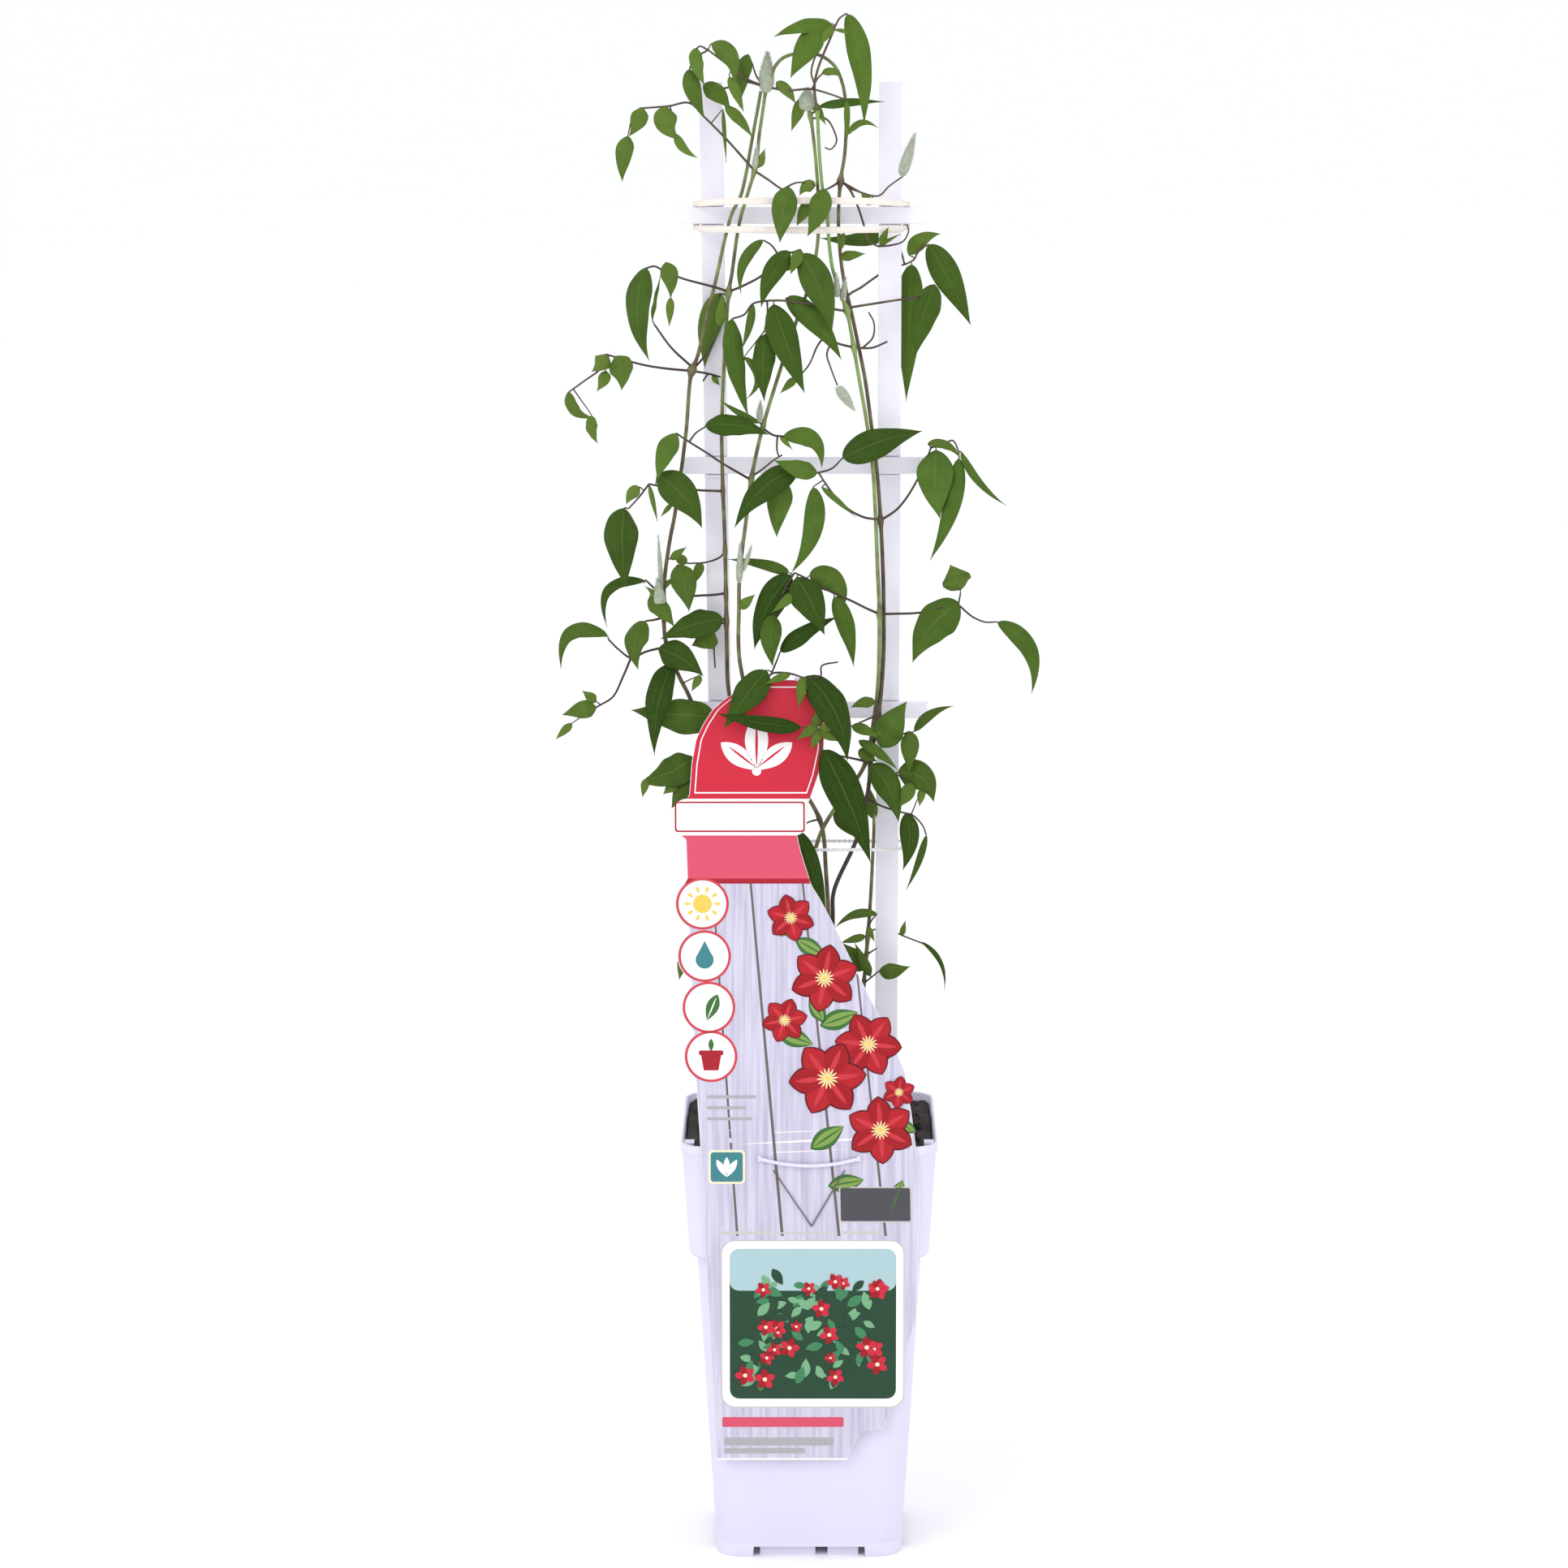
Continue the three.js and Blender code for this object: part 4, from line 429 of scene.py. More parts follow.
# Rack: two flat uprights and three bars, moulded in white polypropylene with soft edges. The bars
# clip on the front of the uprights between small nubs.
RACK_BOTTOM = 116.0
RACK_TOP = 713.0
UPRIGHT_WIDTH = 11.0
UPRIGHT_FRONT = 6.0
UPRIGHT_BACK = 10.0
UPRIGHTS = {"left": (-47.0, -40.0), "right": (39.0, 37.5)}
BAR_LENGTH = 117.0
BAR_HEIGHT = 8.0
BAR_THICKNESS = 3.0
BARS = {"top": (-2.7, 650.0), "middle": (-2.1, 530.0), "low": (-1.0, 411.0)}
EDGE_ROUND = 0.0004
NUB_HEIGHT = 1.6
NUB_INSET = 0.6
NUB_GAPS = (-2.1, 0.5)
NUB_DEPTHS = (-1.2, 0.5)

# Polypropylene again, whiter than the pot and a little glossier, with a grain finer than a millimetre.
rack_material, tree, output = new_material("moulded_white_rack_plastic")
colour = between(tree, solid_noise(tree, 60.0, 3.0), "#e4e1ec", "#f0edf7")
grain = relief(tree, solid_noise(tree, 1400.0, 1.0), 0.1, 0.0002)
surface(tree, output, colour, 0.38, IOR=PLASTIC_IOR, Normal=grain)


def moulded(name, parts, node, material, edge=EDGE_ROUND):
    """A piece of plain blocks with its edges rounded, in place of a CAD node."""
    points, faces = gathered(parts)
    piece = put_mesh(name, points, faces, [material], smooth=False)
    rounding = piece.modifiers.new("soft_edges", "BEVEL")
    rounding.width = edge
    rounding.segments = 2
    rounding.limit_method = "ANGLE"
    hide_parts(node)
    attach(piece, "root")
    return piece


for side, (top_x, bottom_x) in UPRIGHTS.items():
    half = UPRIGHT_WIDTH / 2
    post_points, post_faces = block(-half, half, UPRIGHT_FRONT, UPRIGHT_BACK, RACK_BOTTOM, RACK_TOP)
    post_points[:, 0] += np.where(post_points[:, 2] == RACK_TOP, top_x, bottom_x)
    parts = [(post_points, post_faces)]
    for _, bar_z in BARS.values():
        x = bottom_x + (top_x - bottom_x) * (bar_z - RACK_BOTTOM) / (RACK_TOP - RACK_BOTTOM)
        nub_front, nub_back = UPRIGHT_FRONT + NUB_DEPTHS[0], UPRIGHT_FRONT + NUB_DEPTHS[1]
        for z in (bar_z - BAR_HEIGHT / 2 + NUB_GAPS[0], bar_z + BAR_HEIGHT / 2 + NUB_GAPS[1]):
            nub = (x - half + NUB_INSET, x + half - NUB_INSET, nub_front, nub_back, z, z + NUB_HEIGHT)
            parts.append(block(*nub))
    moulded("rack_post_" + side, parts, "upright_" + side, rack_material)
for level, (x, z) in BARS.items():
    depths = (UPRIGHT_FRONT - BAR_THICKNESS, UPRIGHT_FRONT)
    bar = block(x - BAR_LENGTH / 2, x + BAR_LENGTH / 2, *depths, z - BAR_HEIGHT / 2, z + BAR_HEIGHT / 2)
    moulded("rack_bar_" + level, [bar], "crossbar_" + level, rack_material)


# Stake: a thin flat stick, split from a sheet of the same white plastic as the rack and pushed into
# the peat behind the label, which leans on it.
STAKE_BOX = (-7.2, -2.8, -15.2, -13.8, 130.0, 429.6)
STAKE_EDGE = 0.0003
moulded("white_stake", [block(*STAKE_BOX)], "stake", rack_material, STAKE_EDGE)


# Elastic band: a flat cream rubber band, hooked behind the two ends of the top bar, with both its
# runs in front of the stems. Extruded rubber, cut 3.2 mm wide.
BAND_WIDTH = 3.2
BAND_THICKNESS = 0.9
BAND_ENDS = (-54.0, 46.5)
BAND_FRONT = -8.4
BAND_LIFT = 0.7
BAR_MIDDLE = 4.4
band_left, band_right = BAND_ENDS
bar_z = BARS["top"][1]
half_route = [
    (band_left, 7.5, 4.2), (band_left, 6.2, 5.9), (band_left, 2.0, 6.0), (band_left + 4, -3.0, 6.3),
    (band_left + 14, BAND_FRONT, 6.6), (band_left + 40, BAND_FRONT, 7.0), (band_right - 38, BAND_FRONT, 7.0),
    (band_right - 14, BAND_FRONT, 6.6), (band_right - 4, -3.0, 6.2), (band_right, 2.0, 6.0),
    (band_right, 6.2, 5.9), (band_right, 7.5, 4.2),
]
upper = [(x, y, bar_z + rise + BAND_LIFT * (y < -4)) for x, y, rise in half_route]
lower = [(x, y, bar_z - rise + BAND_LIFT * (y < -4)) for x, y, rise in reversed(half_route)]
band_route = [(band_left, 7.6, bar_z)] + upper + [(band_right, 7.6, bar_z)] + lower
band_line = smooth_line(band_route, 1.2, closed=True)
# its section is a flat oblong with its corners off, and its flat side faces away from the bar
corner = [(-1, 0.5), (-0.85, 1), (0.85, 1), (1, 0.5), (1, -0.5), (0.85, -1), (-0.85, -1), (-1, -0.5)]
band_section = np.array(corner) * np.array([BAND_WIDTH / 2, BAND_THICKNESS / 2])
outward = (band_line[:, 1] - BAR_MIDDLE, (band_line[:, 2] - bar_z) * 0.35)
away = np.column_stack([np.zeros(len(band_line)), *outward])
band_sections = np.broadcast_to(band_section, (len(band_line), 8, 2))
points, faces = swept(band_line, band_sections, away, closed=True)

# Natural rubber with chalk in it: cream and matt, with a faint dusty unevenness.
band_material, tree, output = new_material("extruded_cream_rubber")
dust = solid_noise(tree, 500.0, 3.0)
colour = between(tree, dust, "#e2d6cc", "#f2eae3")
surface(tree, output, colour, 0.7, Normal=relief(tree, dust, 0.2, 0.0002))
band = put_mesh("rubber_band", points, faces, [band_material])
band.data.set_sharp_from_angle(angle=math.radians(50.0))
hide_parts("elastic_band")
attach(band, "root")


# Wire ring: two strands of plastic-coated wire twisted together, laid round both uprights and all the
# stems 136 mm above the pot's rim.
RING_BOX = (-49.8, 45.5, -12.5, 11.6)
RING_HEIGHT = 345.0
RING_CORNERS = (8.0, 1.4)
RING_STEP = 0.6
STRAND_RADIUS = 0.48
STRAND_OFFSET = 0.42
TWIST_PITCH = 5.0


def quarter(x, y, radius, start, count):
    """A quarter of a circle round x, y from an angle in degrees, as rows of two."""
    angle = np.radians(start + np.linspace(0, 90, count))
    return np.column_stack([x + radius * np.cos(angle), y + radius * np.sin(angle)])


def ring_route(x0, x1, y0, y1, front, back):
    """A level rectangle with its own corner radius in front and behind."""
    flat = np.concatenate([
        quarter(x1 - front, y0 + front, front, -90, 7), quarter(x1 - back, y1 - back, back, 0, 7),
        quarter(x0 + back, y1 - back, back, 90, 7), quarter(x0 + front, y0 + front, front, 180, 7),
    ])
    return np.column_stack([flat, np.full(len(flat), RING_HEIGHT)])


ring_line = smooth_line(ring_route(*RING_BOX, *RING_CORNERS), RING_STEP, closed=True)
twists = np.round(len(ring_line) * RING_STEP / TWIST_PITCH)
turns = 2 * math.pi * twists * np.arange(len(ring_line)) / len(ring_line)
up = np.array([[0.0, 0.0, 1.0]])
outward = np.cross(unit(np.roll(ring_line, -1, 0) - np.roll(ring_line, 1, 0)), up)
strands = []
for phase in (0.0, math.pi):
    shift = outward * np.cos(turns + phase)[:, None] + up * np.sin(turns + phase)[:, None]
    strand = ring_line + STRAND_OFFSET * shift
    strands.append(swept(strand, round_section(STRAND_RADIUS, 8, len(strand)), up, closed=True))
points, faces = gathered(strands)

# Polythene-coated wire: white, smooth, a little glossy.
wire_material, tree, output = new_material("white_coated_wire")
surface(tree, output, between(tree, solid_noise(tree, 300.0, 2.0), "#dddadd", "#f3f1f3"), 0.4)
ring = put_mesh("twisted_tie", points, faces, [wire_material])
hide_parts("wire_ring")
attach(ring, "root")


# Label: a die-cut sheet of stiff polypropylene, printed in front, that hangs in the pot's strap by two
# slots and leans back on the stake. The print is made of flat areas of ink, one thin layer over another.
LABEL_THICKNESS = 0.6
SLOT_HALF = 1.3
SLOT_PLACE = 23.8
SLOT_HEIGHTS = (199.4, 206.4)
SLOT_DEPTH = -62.0
SHEET_STEP = 2.0
SHEET_COLUMNS = (10, 2, 14, 2, 8)
SHEET_FOOT = 36.0
DOME_START = 424.0
DOME_TOP = 426.4
# heights at which the cut edge turns sharply
EDGE_TURNS = (35.5, 51.05, 350.2, 367.6)
BADGE_RADIUS = 13.3
BADGES = [(-52.0, 316.0), (-51.0, 290.0), (-49.0, 264.5), (-48.0, 240.0)]
# height and depth of the sheet's back, from its foot to its top
LABEL_SIDE = [
    (30, -51.6), (36, -52.1), (92, -55.5), (150, -59.2), (196, -62.1), (214, -62.6), (240, -57.6),
    (290, -45.6), (345, -34.4), (389, -24.3), (405, -20.6), (426, -15.9), (436, -13.9),
]
# the cut edge as the camera sees it, from the foot up: side and height in the plane of the stems
LABEL_LEFT = [
    (-46, 36), (-51, 140), (-53.7, 200), (-55, 221), (-55.3, 228), (-56, 252), (-57.3, 277), (-58.3, 303),
    (-59.3, 328), (-60, 349.8), (-65.6, 350.2), (-66.5, 351.8), (-64.9, 366), (-63.6, 367.4), (-59.4, 367.8),
    (-58.3, 369), (-57.1, 385), (-55, 397), (-51.7, 404), (-47, 411.5), (-40.3, 417.3), (-30.5, 423),
    (-22.4, 425.8), (-12.6, 426.4),
]
LABEL_RIGHT = [
    (19.4, 38), (26.2, 51), (36.9, 51.1), (52.8, 108), (52.9, 138), (54.5, 159), (54, 177.5), (52.4, 194),
    (50, 213), (46.7, 232.6), (39.5, 250), (33, 262.6), (22, 285), (10.8, 308), (5, 319), (1.2, 325),
    (-4, 341.6), (-5.9, 350), (-2.1, 350.8), (-1.5, 352.5), (-0.6, 363.6), (-1.0, 364.8), (0.5, 368),
    (4.5, 380), (7, 392), (7.5, 402), (6, 411), (2, 419), (-1.2, 423), (-6, 426), (-12.2, 426.5),
]
side_line = smooth_line([(0.0, y, z) for z, y in LABEL_SIDE], 1.0)


def label_front(places, lift=0.0):
    """Places seen at side x and height z, put on the sheet's front: the depth is read off its side view
    at the real height, which is found in six rounds, and lift stands them off it along its slope."""
    x, z = places[..., 0], places[..., 1]
    real = z.copy()
    for _ in range(6):
        depth = np.interp(real, side_line[:, 2], side_line[:, 1]) - LABEL_THICKNESS
        share = (depth + EYE_DISTANCE) / EYE_DISTANCE
        real = EYE_HEIGHT + (z - EYE_HEIGHT) * share
    slope = np.gradient(side_line[:, 1], side_line[:, 2])
    lean = np.interp(real, side_line[:, 2], slope)
    length = np.sqrt(1.0 + lean**2)
    return np.stack([x * share, depth - lift / length, real + lift * lean / length], -1)


def edge_at(edge, heights):
    """Side of a cut edge at given heights, straight between its points."""
    edge = np.array(edge, float)
    return np.interp(heights, edge[:, 1], edge[:, 0])


even_rows, dome_rows = np.arange(SHEET_FOOT, DOME_START, SHEET_STEP), np.linspace(DOME_START, DOME_TOP, 7)
heights = np.unique(np.concatenate([even_rows, dome_rows, EDGE_TURNS, SLOT_HEIGHTS]))
left = edge_at(LABEL_LEFT, heights)
for badge_x, badge_z in BADGES:
    reach = BADGE_RADIUS**2 - (heights - badge_z) ** 2
    left = np.where(reach > 0, np.minimum(left, badge_x - np.sqrt(np.maximum(reach, 0))), left)
right = edge_at(LABEL_RIGHT, heights)
slot_row, slot_end = np.searchsorted(heights, SLOT_HEIGHTS)
marks = np.array([place + side * SLOT_HALF for place in (-SLOT_PLACE, SLOT_PLACE) for side in (-1, 1)])
marks = marks * EYE_DISTANCE / (EYE_DISTANCE + SLOT_DEPTH)
stops = [0.0, *(marks - left[slot_row]) / (right[slot_row] - left[slot_row]), 1.0]
spans = zip(stops, stops[1:], SHEET_COLUMNS)
across = np.append(np.concatenate([np.linspace(a, b, n, endpoint=False) for a, b, n in spans]), 1.0)
sides = left[:, None] + (right - left)[:, None] * across
sheet_places = np.stack([sides, np.broadcast_to(heights[:, None], sides.shape)], -1)
sheet_faces = skin(sheet_places.shape[:2], closed_around=False)
row, column = sheet_faces[:, 0] // len(across), sheet_faces[:, 0] % len(across)
# the slots are the second and the fourth run of columns
run = np.searchsorted(np.cumsum(SHEET_COLUMNS), column, side="right")
in_slot = (row >= slot_row) & (row < slot_end) & ((run == 1) | (run == 3))
sheet_faces = sheet_faces[~in_slot]
sheet_points = label_front(sheet_places)

# Print: everything below is drawn in seen millimetres, and lies on the sheet in layers 0.03 mm apart.
LAYER = 0.03
# the gap ink is the printed gaps between the boards, and also the painted shade of the tongue's cut lines
INK = {
    "board": "#dad8e7", "gap": "#6b5f5e", "red": "#c8263c", "deep_red": "#a51c2d", "pink": "#d25069",
    "white": "#f4f1f1", "rim": "#c9414c", "green": "#3d6b34", "fern": "#3f7f56", "mint": "#74a87e",
    "leaf": "#7d9a4c", "teal": "#3f7f86", "slate": "#4b4a50", "cream": "#efe3c4", "grey": "#a9a6aa",
    "shade": "#c6bfbd", "petal": "#9c121d", "vein": "#5e0a14", "yellow": "#e8c65a", "sky": "#a8c4c8",
    "dark_green": "#23442f", "crimson": "#ae1b26", "bar": "#c5333d", "stamen": "#e9dba0",
}
prints = []


def printed(outline, ink, layer, grain=0.0):
    """Keeps one flat area of ink: its outline, its colour, its layer and how much wood grain it shows."""
    prints.append((np.asarray(outline, float), ink, layer, grain))


def disc(x, z, radius, count=40):
    """A round outline."""
    angle = np.linspace(0, 2 * math.pi, count, endpoint=False)
    return np.column_stack([x + radius * np.cos(angle), z + radius * np.sin(angle)])


def panel(x0, x1, z0, z1, radius, lean=0.0):
    """A rectangle with round corners that leans sideways by a share of its height."""
    x0, x1, low, high = x0 + radius, x1 - radius, z0 + radius, z1 - radius
    outline = np.concatenate([
        quarter(x1, high, radius, 0, 6), quarter(x0, high, radius, 90, 6),
        quarter(x0, low, radius, 180, 6), quarter(x1, low, radius, 270, 6),
    ])
    outline[:, 0] += lean * (outline[:, 1] - z0)
    return outline


def inside(z0, z1, inset, step=SHEET_STEP):
    """The part of the sheet between two heights, drawn in from the cut edge."""
    z = np.unique(np.append(np.arange(z0, z1, step), z1))
    lefts, rights = np.interp(z, heights, left) + inset, np.interp(z, heights, right) - inset
    return np.concatenate([np.column_stack([rights, z]), np.column_stack([lefts, z])[::-1]])


def petal(x, z, turn, length, width, count=14):
    """A pointed petal or leaf from a place: half width = sin(pi t^1.15) to the power 0.8."""
    t = np.linspace(0, 1, count)
    half = width / 2 * np.sin(math.pi * t**1.15) ** 0.8
    one_side, other = np.column_stack([t * length, half]), np.column_stack([t * length, -half])
    path = np.concatenate([one_side, other[-2:0:-1]])
    c, s = math.cos(turn), math.sin(turn)
    return np.column_stack([x + path[:, 0] * c - path[:, 1] * s, z + path[:, 0] * s + path[:, 1] * c])


def blossom(x, z, size, turn, layer):
    """A printed climber's flower: six broad petals with bars, round a middle with fourteen stamens."""
    for k in range(6):
        angle = turn + k * math.pi / 3
        printed(petal(x, z, angle, size * 1.04, size * 0.74), "vein", layer)
        printed(petal(x, z, angle, size, size * 0.66), "petal" if k % 2 else "crimson", layer + 1 + k % 2)
        printed(petal(x, z, angle, size * 0.86, size * 0.14), "bar", layer + 3)
    printed(disc(x, z, size * 0.15), "vein", layer + 4)
    for k in range(14):
        printed(petal(x, z, turn + k * math.pi / 7, size * 0.3, size * 0.05, 6), "stamen", layer + 5)
    printed(disc(x, z, size * 0.07, 12), "yellow", layer + 6)


# Whitewashed boards with dark slanting gaps between them: each gap's side at its foot and its top, its
# top's height and its width
BOARD_FOOT = 150
printed(inside(36.5, 349.5, 0.25), "board", 1, 1.0)
for low_x, high_x, top, width in (
    (-14, -31, 349, 1.5), (14, -4, 330, 1.4), (37, 23, 281, 1.3), (-36, -49, 349, 1.2),
):
    outline = [(low_x, BOARD_FOOT), (low_x + width, BOARD_FOOT), (high_x + width * 0.7, top), (high_x, top)]
    printed(outline, "gap", 2)
for x0, x1, low, high in ((-44.5, -18, 150.5, 152), (-16.5, 13, 150.5, 151.6), (16, 36, 150.5, 152)):
    printed([(x0, low), (x1, low), (x1, high), (x0, high)], "shade", 2)
# Dome and title strip: red with a thin white line inside, and three plain leaves for a device
for z0, z1, inset, step, ink, layer in (
    (367.9, 426.1, 0.3, 1.0, "red", 1), (370.5, 423.0, 2.4, 1.0, "white", 2),
    (371.2, 422.4, 3.0, 1.0, "red", 3), (326, 349.8, 0.25, 2.0, "pink", 3),
    (326, 328.5, 0.25, 2.0, "deep_red", 4),
):
    printed(inside(z0, z1, inset, step), ink, layer)
for turn, length in ((90, 27), (142, 22), (38, 22)):
    printed(petal(-25.5, 382, math.radians(turn), length, length * 0.42), "white", 4)
    printed(petal(-25.5, 383, math.radians(turn), length * 0.8, length * 0.05), "red", 5)
printed(disc(-25.5, 381.5, 2.2), "white", 4)
# Leaves and blossoms, hanging down the right-hand side
for x, z, turn, length in (
    (24, 262, 200, 20), (34, 236, 60, 15), (2, 246, 160, 19), (42, 208, 330, 12), (17, 205, 215, 20),
    (8, 290, 150, 17), (46, 178, 250, 20), (27, 178, 190, 18), (-14, 300, 40, 16), (0, 270, 300, 15),
):
    turn = math.radians(turn)
    printed(petal(x, z, turn, length, length * 0.5), "green", 4)
    printed(petal(x, z, turn, length * 0.93, length * 0.3), "leaf", 5)
    printed(petal(x, z, turn, length * 0.9, length * 0.05), "green", 6)
for x, z, size, turn, layer in (
    (7.5, 279.0, 16.5, 0.35, 8), (29.0, 246.0, 16.0, 0.95, 8), (9.0, 229.0, 18.5, 0.1, 15),
    (35.0, 203.0, 16.5, 0.6, 8), (-12.0, 258.0, 11.0, 0.2, 8), (44.0, 222.0, 8.0, 0.4, 22),
    (-9.0, 309.0, 11.5, 0.75, 15),
):
    blossom(x, z, size, turn, layer)
# Care badges, white with a red rim: sun, water, leaf and pot
for x, z in BADGES:
    printed(disc(x, z, BADGE_RADIUS - 0.5), "rim", 8)
    printed(disc(x, z, BADGE_RADIUS - 1.7), "white", 9)
x, z = BADGES[0]
printed(disc(x, z, 4.6), "yellow", 10)
for k in range(10):
    angle = k * math.pi / 5
    printed(petal(x + 5.4 * math.cos(angle), z + 5.4 * math.sin(angle), angle, 3.6, 1.7, 8), "yellow", 10)
x, z = BADGES[1]
printed(disc(x, z - 1.8, 4.4), "teal", 10)
printed([(x - 4.1, z - 0.4), (x + 4.1, z - 0.4), (x, z + 7.6)], "teal", 11)
x, z = BADGES[2]
printed(petal(x - 1.0, z - 6.5, math.radians(68), 14, 6.2), "green", 10)
printed(petal(x - 1.0, z - 6.5, math.radians(68), 12.6, 0.7), "white", 11)
x, z = BADGES[3]
printed([(x - 3.6, z - 7), (x + 3.6, z - 7), (x + 5, z + 1), (x - 5, z + 1)], "deep_red", 10)
printed(panel(x - 6, x + 6, z + 0.6, z + 3.0, 0.8), "deep_red", 11)
printed(petal(x, z + 2.4, math.radians(90), 6.5, 2.6), "green", 10)
# Plain panels: the title strip, three pale notes, a square sign, the frame of the picture, and below it
# a pink strip and two grey ones
for x0, x1, z0, z1, radius, ink, layer in (
    (-65.3, -2.1, 351.5, 366.5, 1.4, "deep_red", 4), (-64.5, -2.9, 352.3, 365.7, 1.0, "white", 5),
    (-50, -26, 219, 220.5, 0.6, "grey", 3), (-50, -31, 213.5, 215, 0.6, "grey", 3),
    (-50, -28, 208, 209.5, 0.6, "grey", 3),
    (-49.5, -31.5, 176, 193, 2.0, "cream", 3), (-48.4, -32.6, 177.1, 191.9, 1.4, "teal", 4),
    (-43.5, 47.0, 62.5, 147.5, 6.5, "shade", 4), (-42.9, 46.4, 63.0, 147.0, 6.2, "white", 5),
    (-39.2, 42.9, 67.0, 143.2, 4.6, "dark_green", 6), (-39.2, 42.9, 122.0, 143.2, 4.6, "sky", 7),
    (-43.0, 17.0, 52.5, 57.5, 0.8, "pink", 4), (-42.0, 12.0, 43.0, 47.0, 0.8, "grey", 4),
    (-42.0, -2.0, 39.0, 41.6, 0.8, "grey", 4),
):
    printed(panel(x0, x1, z0, z1, radius), ink, layer)
for k in range(3):
    printed(petal(-40.5, 179.5, math.radians(60 + 30 * k), 10, 3.2), "white", 5)
# Slate marker, a little askew
printed(panel(15.0, 50.5, 156.5, 174.5, 1.2, -0.02), "shade", 5)
printed(panel(15.6, 49.9, 157.2, 173.9, 0.9, -0.02), "slate", 6)
# Tongue: the die-cut flap between the slots, seen as two fine lines that meet at its tip. The sheet is not
# cut there: the lines are painted shade, dark gap ink laid over all the print where the shadow in the cut
# falls.
TONGUE_TIP = (1.2, 154.7)
for x in (-17.6, 17.5):
    tip_x, tip_z = TONGUE_TIP
    printed([(x - 0.35, 183.0), (x + 0.35, 183.0), (tip_x + 0.35, tip_z), (tip_x - 0.35, tip_z)], "gap", 30)
# The picture's hedge in flower: every leaf and every flower has a layer of its own
HEDGE_LEAVES = 110
HEDGE_FLOWERS = 22
hedge = np.random.default_rng(11)
for k in range(HEDGE_LEAVES):
    x, z, length = hedge.uniform(-29, 33), hedge.uniform(77, 126), hedge.uniform(6, 10)
    outline = petal(x, z, hedge.uniform(0, 6.28), length, length * 0.5, 9)
    printed(outline, ("fern", "mint", "dark_green")[k % 3], 8 + k * 0.06)
for k in range(HEDGE_FLOWERS):
    x, z, size = hedge.uniform(-32, 35), hedge.uniform(76, 128), hedge.uniform(3.0, 5.6)
    turn, layer = hedge.uniform(0, 1), 15 + k * 0.3
    for n in range(5):
        outline = petal(x, z, turn + n * 2 * math.pi / 5, size, size * 0.66, 8)
        printed(outline, "petal" if n % 2 else "red", layer + n % 2 * 0.1)
    printed(disc(x, z, size * 0.2, 10), "cream", layer + 0.2)


def laid_on_sheet(outline, layer):
    """One outline as points and triangles on the sheet, cut across every 5 mm so that it bends with it."""
    flat = bmesh.new()
    corners = [flat.verts.new((x, 0.0, z)) for x, z in outline]
    flat.faces.new(corners)
    for height in np.arange(math.ceil(outline[:, 1].min() / 5) * 5, outline[:, 1].max(), 5.0):
        everything = list(flat.verts) + list(flat.edges) + list(flat.faces)
        bmesh.ops.bisect_plane(flat, geom=everything, plane_co=(0, 0, height), plane_no=(0, 0, 1))
    bmesh.ops.triangulate(flat, faces=list(flat.faces))
    bmesh.ops.recalc_face_normals(flat, faces=list(flat.faces))
    flat.verts.index_update()
    flat.faces.ensure_lookup_table()
    points = np.array([vertex.co[:] for vertex in flat.verts])
    triangles = np.array([[vertex.index for vertex in face.verts] for face in flat.faces])
    if flat.faces[0].normal.y > 0:
        triangles = triangles[:, ::-1]
    flat.free()
    return label_front(points[:, [0, 2]], LAYER * layer), triangles


def ink_layer(piece, colours, grain):
    """A colour for every point of a piece, and how much wood grain lies over it."""
    ink = piece.data.color_attributes.new("ink", "FLOAT_COLOR", "POINT")
    ink.data.foreach_set("color", np.asarray(colours, np.float32).ravel())
    wash = piece.data.attributes.new("wash", "FLOAT", "POINT")
    wash.data.foreach_set("value", np.asarray(grain, np.float32))


# Offset ink on white polypropylene film: flat colours under a satin film gloss, the printed boards
# with a grain of 1 mm streaks along their slant.
STREAK_SCALE = (520.0, 24.0, 24.0)
label_material, tree, output = new_material("printed_satin_film")
place = add(tree, "ShaderNodeTexCoord")
ink = add(tree, "ShaderNodeAttribute", attribute_name="ink")
wash = add(tree, "ShaderNodeAttribute", attribute_name="wash")
slant = add(tree, "ShaderNodeMapping", {
    "Vector": place.outputs["Object"], "Rotation": (0.0, math.radians(-5.0), 0.0), "Scale": STREAK_SCALE,
})
streak = add(tree, "ShaderNodeTexNoise", {"Vector": slant.outputs["Vector"], "Scale": 1.0, "Detail": 4.0})
worn = add(tree, "ShaderNodeMix", {
    "Factor": wash.outputs["Fac"], "A": ink.outputs["Color"],
    "B": ramp(tree, streak.outputs["Fac"], (0.3, "#d3cfd8"), (0.64, "#f3f1f5")),
}, data_type="RGBA", blend_type="MULTIPLY")
gloss = mapped(tree, solid_noise(tree, 900.0, 2.0), 0.0, 1.0, 0.26, 0.4)
surface(tree, output, worn.outputs["Result"], gloss, IOR=PLASTIC_IOR, Specular_IOR_Level=0.25)

sheet = put_mesh("label_sheet", sheet_points, [sheet_faces], [label_material])
white = np.tile(linear(INK["white"]), (len(sheet.data.vertices), 1))
ink_layer(sheet, white, np.zeros(len(white)))
body = sheet.modifiers.new("film", "SOLIDIFY")
body.thickness = LABEL_THICKNESS * 0.001
body.offset = -1.0
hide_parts("label")
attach(sheet, "root")

